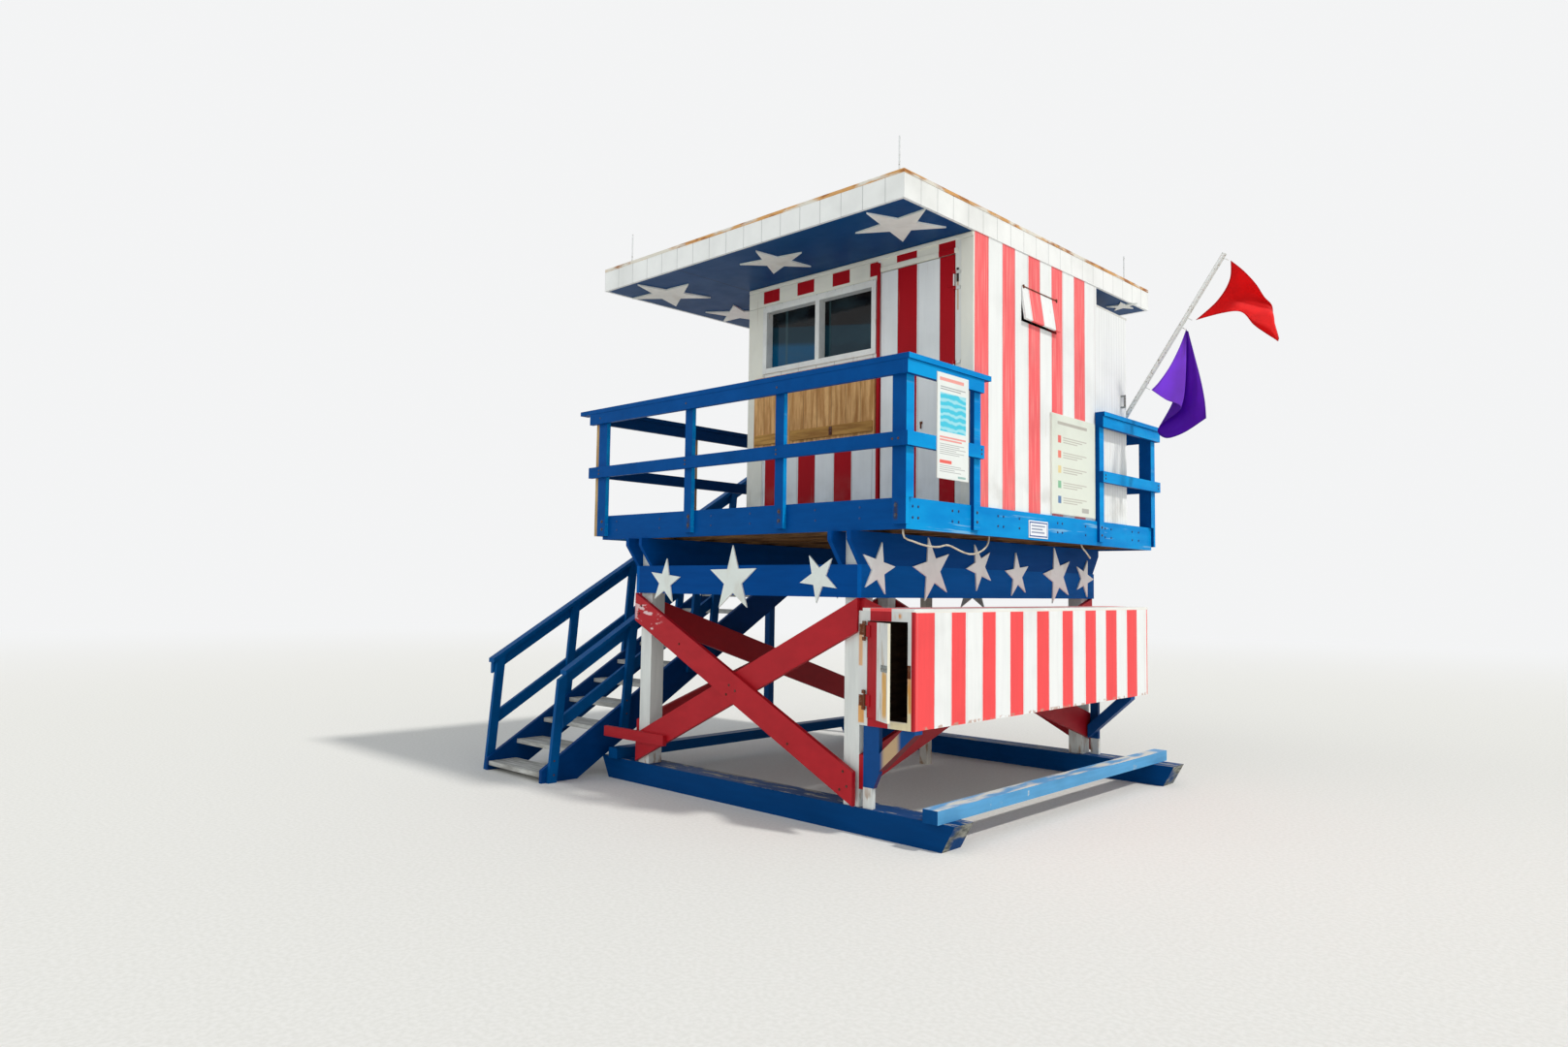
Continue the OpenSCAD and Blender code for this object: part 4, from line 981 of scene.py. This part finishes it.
def corner_paint(s):
    """White in front, with rust below the door's upper hinge, and round the corner the wall's red in its
    lighter copy, painted sunlight.
    """
    t = s.tree
    broken = fade(t, s.noise(9.0, 5.0, (3, 1, 0.3)), 0.3, 0.5)
    run = times(t, s.area(4, x=(1536, 1550), z=(3860, 4090)), broken, 0.75)
    front = mix(t, run, tint(232, 232, 224), tint(196, 146, 98))
    turned = times(t, fade(t, s.facing["x"], 0.5, 0.8), fade(t, s.axis["y"], -0.893, -0.889))
    return mix(t, turned, front, brushed_sunlit_wall_red(s))


dress("front_wall_corner", painted("corner_paint", corner_paint, (2.4, 1, 0.2), **siding))
right_siding = painted("right_wall_paint", right_paint, (1, 2.4, 0.2), joints=[("y", 198.5, 1070, 3.5)],
                       joint_tint=tint(170, 130, 130), **siding)
for node in ("right_wall", "left_wall", "vent_flap"):
    dress(node, right_siding)
dress("rear_wall", painted("rear_wall_paint", WHITE, (2.4, 1, 0.2), joints=[("x", 203.2, -700, 3.5)],
                           **siding))
dress("closet_walls", painted("closet_paint", WHITE, (1.5, 1.5, 0.2), joint_tint=tint(176, 178, 182),
                              joints=[("x", 51, -700, 3), ("y", 51, 2888, 3)], **siding))
dress("closet_roof", painted("closet_roof_paint", tint(214, 214, 208), worn=0.3, bare=tint(150, 146, 138)))

# The frieze above the window and the door, with its red squares and a round strip under the roof
SQUARES = [(-534, -337), (-119, 74), (287, 475), (694, 799)]


def frieze_paint(s):
    t = s.tree
    red = times(t, s.stripes("x", SQUARES, 0.001), s.band("z", 4286, 4399, 1.5))
    return mix(t, red, FRIEZE_WHITE, SHADED_WALL_RED)


bm = bmesh.new()
block(bm, (-717, 857, 4262), (771.5, 866, 4404), 1.5)
new_piece("frieze_board", bm, painted("frieze_paint", frieze_paint, (0.3, 1, 2.4), **siding))
bm = bmesh.new()
block(bm, (-717, 852, 4408), (1686, 865, 4441), 4)
block(bm, (800, 858, 4309), (1549, 866, 4347), 2)
block(bm, (-717, 859, 2352), (-531, 866, 4258), 1.5)
block(bm, (1576, 859, 2352), (1686, 866, 4404), 1.5)


def trim_coat(s):
    """White, but red where the door's outer stripe runs on over the board above the door."""
    return mix(s.tree, s.area(1.5, x=(1370, 1516), z=(4300, 4352)), FRIEZE_WHITE, SHADED_WALL_RED)


new_piece("hut_trim_boards", bm, painted("trim_paint", trim_coat, (1, 1, 0.4), **siding))
bm = bmesh.new()
block(bm, (772, 848, 2352), (798, 866, 4384), 2)
new_piece("red_batten", bm, painted("batten_paint", SHADED_WALL_RED, (1, 1, 0.3), **siding))


# Window, shutters and vent.
# A two-pane sliding window in a worn white frame. Two unpainted pine shutters hang folded down
# below it. A flap cut from the right wall hangs over the vent on a rusty rod.
def frame_dirt(s, colour):
    t = s.tree
    runs = times(t, fade(t, s.noise(12.0, 6.0, (3, 1, 0.4)), 0.62, 0.72), 0.45)
    return mix(t, runs, colour, tint(168, 124, 88))


dress("window_frame", painted("window_frame_paint", tint(240, 240, 234), (0.6, 1, 0.6), worn=0.14,
                              bare=tint(176, 164, 146), extra=frame_dirt))

# The panes are painted: a dark room as painted shade, a bluer band below a slanting line as a painted sky
# reflection, two paler upright bands as painted images of posts, and a near-black band at the top as painted
# shade.
s = Surface("window_glass")
t = s.tree
smear = fade(t, s.noise(3.0, 5.0, (1, 1, 2)), 0.35, 0.75)
painted_sky_reflection = mix(t, fade(t, s.axis["x"], -0.03, 0.02), tint(0, 84, 124), tint(10, 44, 58))
edge = calc(t, "ADD", s.axis["z"], times(t, s.axis["x"], 0.14))
painted_room_shade_and_reflection = mix(t, fade(t, edge, 3.86, 3.80), tint(14, 52, 66), painted_sky_reflection)
painted_room_shade_and_reflection = mix(t, fade(t, edge, 3.98, 4.0), painted_room_shade_and_reflection, tint(16, 12, 12))
painted_post_images = calc(t, "ADD", s.band("x", -318, -290, 4), s.band("x", 196, 214, 6))
painted_room_shade_and_reflection = mix(t, times(t, painted_post_images, 0.45), painted_room_shade_and_reflection, tint(70, 100, 104))
s.shader.inputs["Transmission Weight"].default_value = 0.12
s.shader.inputs["IOR"].default_value = 1.45
s.shader.inputs["Specular IOR Level"].default_value = 0.1
gloss = add(t, "MapRange", {"Value": smear, "To Min": 0.04, "To Max": 0.16})
dress("window_glass", s.finish(mix(t, times(t, smear, 0.25), painted_room_shade_and_reflection, tint(54, 84, 94)), smear,
                               gloss.outputs[0], bump=0.05, depth=0.0004))

dress("window_shutters", timber("pine", tint(244, 196, 134), tint(176, 122, 66), (2.6, 1, 0.24),
                                joints=[("x", 158, -638, 2.5)]))
bm = bmesh.new()
for x0, x1, z0, z1 in ((-150, 755, 2998, 3086), (-590, -210, 2994, 3082),
                       (-150, 755, 3506, 3590), (-590, -210, 3506, 3590)):
    block(bm, (x0, 818, z0), (x1, 832, z1), 2)
new_piece("shutter_battens", bm,
          timber("pine_battens", tint(214, 166, 92), tint(156, 108, 52), (0.24, 1, 2.6)))
bm = bmesh.new()
block(bm, (300, 812, 3006), (332, 818, 3078), 1)
block(bm, (-246, 812, 3004), (-214, 818, 3070), 1)
new_piece("shutter_catches", bm, dark_bolts)

ROD_RADIUS = 0.004
bm = bmesh.new()
turned = Vector((0, 1, 0)).to_track_quat("Z", "Y").to_matrix().to_4x4()
bmesh.ops.create_cone(bm, cap_ends=True, segments=10, radius1=ROD_RADIUS, radius2=ROD_RADIUS, depth=0.572,
                      matrix=Matrix.Translation(at(1692, 1863, 4184)) @ turned)
for y in (1590, 2136):
    block(bm, (1687, y - 6, 4168), (1699, y + 6, 4196), 1)
new_piece("vent_rod", bm, rusty_iron)


# Front door.
# A flush plywood leaf with the wall's stripes carried across it. Its hinges are painted over with
# the wall, but for a dark iron plate at the upper one, and rust runs down from it.
DOOR_STRIPES = [(972, 1158), (1378, 1513)]


def door_paint(s):
    return mix(s.tree, s.stripes("x", DOOR_STRIPES), WHITE, SHADED_WALL_RED)


dress("front_door", painted("door_paint", door_paint, (2.4, 1, 0.2), joints=[("x", 203.0, 972, 3)],
                            joint_tint=tint(120, 116, 118), **siding))
bm = bmesh.new()
block(bm, (1534, 859, 4080), (1552, 866, 4188), 1)
for z in (4098, 4134, 4170):
    bolt(bm, (1543, 859, z), FRONT, 4)
new_piece("door_hinge_plate", bm, rust("black_iron", tint(40, 38, 40), tint(78, 46, 34), 0.3))
bm = bmesh.new()
block(bm, (1196, 862, 3012), (1222, 866, 3034), 1)
block(bm, (1204, 852, 2976), (1214, 862, 3026), 2)
new_piece("door_latch", bm, rusty_iron, body="front_door")

dress("grab_handle", rust("handle_metal", tint(136, 138, 136), tint(110, 90, 74), 0.2))


# Roof.
# A nearly flat roof edged with short grooved boards, white, under a stained metal drip edge. The
# soffit is dark blue plywood in sheets, with two joints between them.
dress("roof_fascia", painted("roof_edge_paint", tint(240, 241, 238), (0.6, 0.6, 0.4), worn=0.08,
                             bare=tint(176, 164, 140), grain=0.15, joint_tint=tint(128, 128, 130),
                             joints=[("x", 203.2, -1719, 3.5), ("y", 203.2, -36, 3.5)]))
dress("roof_top", painted("roof_felt", tint(188, 186, 180), (1, 1, 1), worn=0.3, bare=tint(150, 146, 138)))


def soffit_marks(s, colour):
    t = s.tree
    seam_line = s.band("x", -722, -714, 2)
    cross = s.band("y", 1198, 1206, 2)
    cloud = fade(t, s.noise(1.6, 5.0), 0.5, 0.8)
    colour = mix(t, times(t, cloud, 0.25), colour, tint(50, 96, 140))
    return mix(t, times(t, most(t, seam_line, cross), 0.7), colour, tint(20, 24, 44))


dress("roof_soffit", painted("soffit_paint", tint(6, 68, 120), (0.4, 0.4, 1), worn=0.06,
                             bare=tint(90, 96, 110), grain=0.3, extra=soffit_marks, specular=0.06))
dress("roof_rods", rust("rod_metal", tint(206, 208, 208), tint(150, 140, 130), 0.1))

# The drip edge round the top of the roof: folded strips of metal, slightly proud of the boards
ROOF_SLOPE = 64 / 4026
EDGE_BOARD_FOOT, EDGE_BOARD = 4433, 203
LIP, PROUD = 28, 3
bm = bmesh.new()
for low, high in (((-1722, -39, 0), (1698, -10, LIP)), ((-1722, 3962, 0), (1698, 3993, LIP)),
                  ((-1722, -10, 0), (-1692, 3962, LIP)), ((1668, -10, 0), (1698, 3962, LIP))):
    block(bm, low, high, 1.5)
lift = (EDGE_BOARD_FOOT + EDGE_BOARD - LIP + PROUD) / 1000 - at(0, -36, 0).y * ROOF_SLOPE
tilted = Matrix(((1, 0, 0, 0), (0, 1, 0, 0), (0, ROOF_SLOPE, 1, lift), (0, 0, 0, 1)))
bmesh.ops.transform(bm, matrix=tilted, verts=bm.verts)


def stained(s):
    t = s.tree
    spread = fade(t, s.noise(2.2, 7.0, (1.4, 1.4, 6)), 0.40, 0.54)
    deep = fade(t, s.noise(5.0, 7.0, (1.5, 1.5, 6)), 0.46, 0.60)
    orange = mix(t, deep, tint(214, 160, 96), tint(166, 104, 52))
    return mix(t, spread, tint(226, 220, 206), orange)


new_piece("roof_drip_edge", bm, painted("drip_edge_paint", stained, (0.5, 0.5, 2), worn=0.2,
                                        bare=tint(150, 100, 60), grain=0.2))


# Signs.
# Three plain boards: a notice for bathers on the hut, a sheet on the railing and a small plate on
# the edge board. They carry only rules, bars and squares of colour, with no words.
dress("signs", painted("sign_board", tint(236, 232, 222), (1, 1, 1), worn=0.1, bare=tint(206, 196, 176),
                       grain=0.08))


def bars(s, colour, ink, across, first, step, count, thick, ends):
    """Rows of short bars, as lines of print, down a board."""
    for i in range(count):
        z = first - i * step
        y0, y1 = across
        mark = s.area(1.2, y=(y0, y1 - ends[i % len(ends)]), z=(z, z + thick))
        colour = mix(s.tree, times(s.tree, mark, 0.75), colour, ink)
    return colour


def notice(s, colour):
    t = s.tree
    colour = bars(s, colour, tint(168, 160, 150), (2130, 2680), 3130, 46, 1, 26, (20,))
    for i, shade in enumerate((tint(226, 112, 104), tint(232, 128, 110), tint(226, 206, 150),
                               tint(132, 186, 150), tint(96, 130, 172))):
        z = 2975 - i * 128
        colour = mix(t, s.area(1.5, y=(2135, 2190), z=(z, z + 62)), colour, shade)
        colour = bars(s, colour, tint(178, 170, 160), (2225, 2690), z + 44, 20, 3, 9, (40, 120, 210))
    return bars(s, colour, tint(160, 156, 150), (2560, 2700), 2425, 20, 2, 20, (10,))


def bathing_sheet(s, colour):
    t = s.tree
    colour = bars(s, colour, tint(236, 122, 106), (290, 625), 3196, 30, 1, 24, (30,))
    colour = bars(s, colour, tint(118, 122, 126), (300, 615), 3150, 16, 2, 7, (0, 60))
    field = s.area(2, y=(296, 622), z=(2836, 3112))
    wave = add(t, "TexWave", {"Vector": s.place, "Scale": 6.0, "Distortion": 6.0, "Detail": 2.0},
               wave_type="BANDS", bands_direction="Z").outputs[0]
    water = mix(t, times(t, fade(t, wave, 0.3, 0.9), 0.6), tint(70, 196, 220), tint(190, 232, 236))
    colour = mix(t, field, colour, water)
    colour = bars(s, colour, tint(232, 104, 94), (292, 620), 2790, 20, 2, 12, (0, 50))
    colour = bars(s, colour, tint(150, 150, 150), (292, 620), 2745, 14, 6, 5, (20, 80, 0, 120))
    colour = mix(t, s.area(1.5, y=(292, 440), z=(2610, 2634)), colour, tint(232, 104, 94))
    colour = bars(s, colour, tint(150, 150, 150), (292, 620), 2592, 14, 4, 5, (60, 10, 140))
    return bars(s, colour, tint(112, 168, 160), (520, 620), 2516, 18, 1, 16, (0,))


def plate(s, colour):
    t = s.tree
    rim = calc(t, "SUBTRACT", s.area(1, y=(1650, 1940), z=(2160, 2280)),
               s.area(1, y=(1660, 1930), z=(2170, 2270)))
    colour = mix(t, rim, colour, tint(40, 84, 150))
    return bars(s, colour, tint(70, 96, 140), (1680, 1910), 2242, 26, 3, 12, (10, 50, 20))


SCREW_INSET = 18
PLATE_CORNER = 0.024
for name, paper, extra, low, high in (
        ("notice_board", tint(224, 229, 216), notice, (1701, 2032, 2373), (1703, 2815, 3213)),
        ("bathing_sheet", tint(230, 234, 230), bathing_sheet, (1774.5, 264, 2503), (1776.2, 658, 3250)),
        ("edge_plate", tint(240, 242, 246), plate, (1709, 1641, 2151), (1710.6, 1949, 2289))):
    bm = bmesh.new()
    block(bm, low, high, 0 if name == "edge_plate" else 0.6)
    if name == "edge_plate":
        corners = [e for e in bm.edges if abs(e.verts[0].co.x - e.verts[1].co.x) > 0.001]
        bmesh.ops.bevel(bm, geom=corners, offset=PLATE_CORNER, offset_type="OFFSET", segments=5, profile=0.5,
                        affect="EDGES", material=-1, clamp_overlap=True)
    for y in (low[1] + SCREW_INSET, high[1] - SCREW_INSET):
        for z in (low[2] + SCREW_INSET, high[2] - SCREW_INSET):
            bolt(bm, (high[0], y, z), RIGHT, 3)
    made = painted(name + "_print", paper, (1, 1, 1), worn=0.08, bare=tint(206, 196, 176), grain=0.06,
                   extra=extra)
    new_piece(name, bm, made)


# Flag pole and flags.
# A grey tube fixed behind the closet leans out to the right with two flags of light nylon, tied at
# their corners. The wind is light: the red one lifts and folds over, the purple one hangs.
dress("flag_pole", rust("pole_metal", tint(222, 224, 220), tint(160, 148, 130), 0.12))
FLAG_PLANE = 3536
CLOTH_THICK = 0.0012


def cloth(name, colour, lighter, painted_light_mask):
    """Thin woven nylon with hems. It lets light through. Painted light: a mask made from the places across
    and down, given as the last argument, brightens one part of the cloth as painted sunlight, and noise
    patches darken it as painted shade in the creases."""
    s = Surface(name)
    t = s.tree
    uv = add(t, "UVMap", uv_map="cloth").outputs[0]
    weave = add(t, "TexWave", {"Vector": uv, "Scale": 260.0}, bands_direction="X").outputs[0]
    weft = add(t, "TexWave", {"Vector": uv, "Scale": 260.0}, bands_direction="Y").outputs[0]
    threads = times(t, calc(t, "ADD", weave, weft), 0.5)
    parts = add(t, "SeparateXYZ", {0: uv})
    across, up = parts.outputs[0], parts.outputs[1]
    near = [calc(t, "ABSOLUTE", calc(t, "SUBTRACT", v, 0.5)) for v in (across, up)]
    hem = fade(t, most(t, *near), 0.466, 0.472)
    colour = mix(t, painted_light_mask(t, across, up), colour, lighter)
    painted_crease_shade = fade(t, s.noise(5.0, 4.0), 0.35, 0.7)
    base = mix(t, times(t, painted_crease_shade, 0.3), colour, darker(t, colour, (0.6, 0.55, 0.65)))
    base = mix(t, times(t, hem, 0.35), base, darker(t, colour, (0.4, 0.35, 0.45)))
    s.shader.inputs["Sheen Weight"].default_value = 0.2
    s.shader.inputs["Sheen Roughness"].default_value = 0.4
    s.shader.inputs["Specular IOR Level"].default_value = 0.2
    s.finish(base, threads, 0.6, bump=0.25, depth=0.0005)
    glow = add(t, "BsdfTranslucent", {"Color": base})
    both = add(t, "MixShader", {0: 0.5, 1: s.shader.outputs[0], 2: glow.outputs[0]})
    plug(t, t.nodes["Material Output"].inputs["Surface"], both.outputs[0])
    return s.material


def through(points, share):
    """A place at a share of the way along a smooth curve through points."""
    f = share * (len(points) - 1)
    i = min(int(f), len(points) - 2)
    f -= i
    a, b, c, d = (Vector(points[min(max(k, 0), len(points) - 1)]) for k in (i - 1, i, i + 1, i + 2))
    return curve_place(a, b, c, d, f)


def flag(name, folds, material, ripples):
    """A cloth whose folds run down from its upper edge, given from the pole outwards as points
    (x, towards the back, z) on the deck. ripples adds small waves: (size, across, down, start)."""
    bm = bmesh.new()
    bm.loops.layers.uv.new("cloth")
    bmesh.ops.create_grid(bm, x_segments=84, y_segments=60, size=0.5, calc_uvs=True)
    for v in bm.verts:
        out, down = v.co.x + 0.5, 0.5 - v.co.y
        place = through([through(fold, down) for fold in folds], out)
        for height, along, across, start in ripples:
            swing = math.sin(2 * math.pi * (along * out + across * down) + start)
            place.y += height * min(1, 3 * out) * swing
        v.co = at(place.x, FLAG_PLANE + place.y, place.z)
    made = new_piece(name + "_cloth", bm, material, smooth=True)
    skin = made.modifiers.new("skin", "SOLIDIFY")
    skin.thickness = CLOTH_THICK
    skin.offset = 0
    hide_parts(name)


RED_FOLDS = [
    [(2642, 0, 4682), (2629, 0, 4508), (2521, 0, 4342), (2327, 0, 4198)],
    [(2753, 0, 4563), (2694, 15, 4378), (2658, -35, 4276), (2578, -45, 4208)],
    [(2852, 0, 4426), (2788, 20, 4339), (2776, -85, 4200), (2752, -75, 4178)],
    [(2920, 0, 4299), (2887, 10, 4279), (2877, -90, 4144), (2846, -60, 4054)],
    [(2978, 0, 4213), (2976, 0, 4188), (2989, -60, 4118), (2935, -30, 3968)],
    [(2990, 0, 4094), (2997, -5, 4060), (3007, -20, 4013), (2999, -20, 3913)],
    [(3034, -10, 3911), (3033, -12, 3903), (3031, -15, 3895), (3026, -15, 3888)],
]
PURPLE_FOLDS = [
    [(2243, 0, 4132), (2181, 0, 3978), (2090, 0, 3811), (1987, 0, 3678), (1913, 0, 3610)],
    [(2243, 0, 4125), (2215, -14, 3925), (2160, -26, 3729), (2102, -34, 3579), (2056, -34, 3499)],
    [(2245, 0, 4118), (2247, -24, 3896), (2247, -48, 3669), (2239, -64, 3501), (2212, -66, 3393)],
    [(2247, 0, 4111), (2213, 12, 3863), (2152, 26, 3649), (2088, 36, 3456), (1956, 36, 3244)],
    [(2251, 0, 4110), (2270, -4, 3852), (2269, -10, 3606), (2214, -16, 3345), (2056, -16, 3142)],
    [(2256, 0, 4109), (2307, -16, 3844), (2343, -34, 3592), (2333, -44, 3350), (2245, -44, 3179)],
    [(2260, 0, 4106), (2316, 0, 3868), (2368, 0, 3650), (2400, 0, 3458), (2408, 0, 3293)],
]


# The red flag's middle band is painted brighter: painted sunlight.
def red_painted_lit_band(t, across, up):
    band = times(t, fade(t, up, 0.50, 0.46), fade(t, up, 0.08, 0.16))
    return times(t, band, fade(t, across, 0.10, 0.32))


# One panel of the purple flag is painted brighter: painted sunlight on one side of its fold.
def purple_painted_lit_panel(t, across, up):
    return times(t, fade(t, across, 0.352, 0.330), fade(t, up, 1.0, 0.7))


red_nylon = cloth("red_nylon", tint(232, 4, 10), tint(255, 62, 62), red_painted_lit_band)
flag("red_flag", RED_FOLDS, red_nylon, [(5, 1.4, 2.2, 0.4), (3, 3.2, 0.8, 1.1)])
purple_nylon = cloth("purple_nylon", tint(106, 18, 190), tint(172, 96, 248), purple_painted_lit_panel)
flag("purple_flag", PURPLE_FOLDS, purple_nylon,
     [(5, 2.4, 0.8, 0.2), (3, 4.6, 1.4, 1.4)])


# Cable finish.
# Both loose cables have the same sheath of beige plastic, chalky from the sun. It is made here,
# with the tools above.
s = Surface("cable_plastic")
t = s.tree
dust = fade(t, s.noise(24.0, 4.0), 0.4, 0.7)
s.finish(mix(t, dust, tint(206, 196, 176), tint(176, 162, 140)), dust, 0.6, bump=0.2, depth=0.0006)
for made in (long_cable, short_cable):
    made.data.materials.append(s.material)
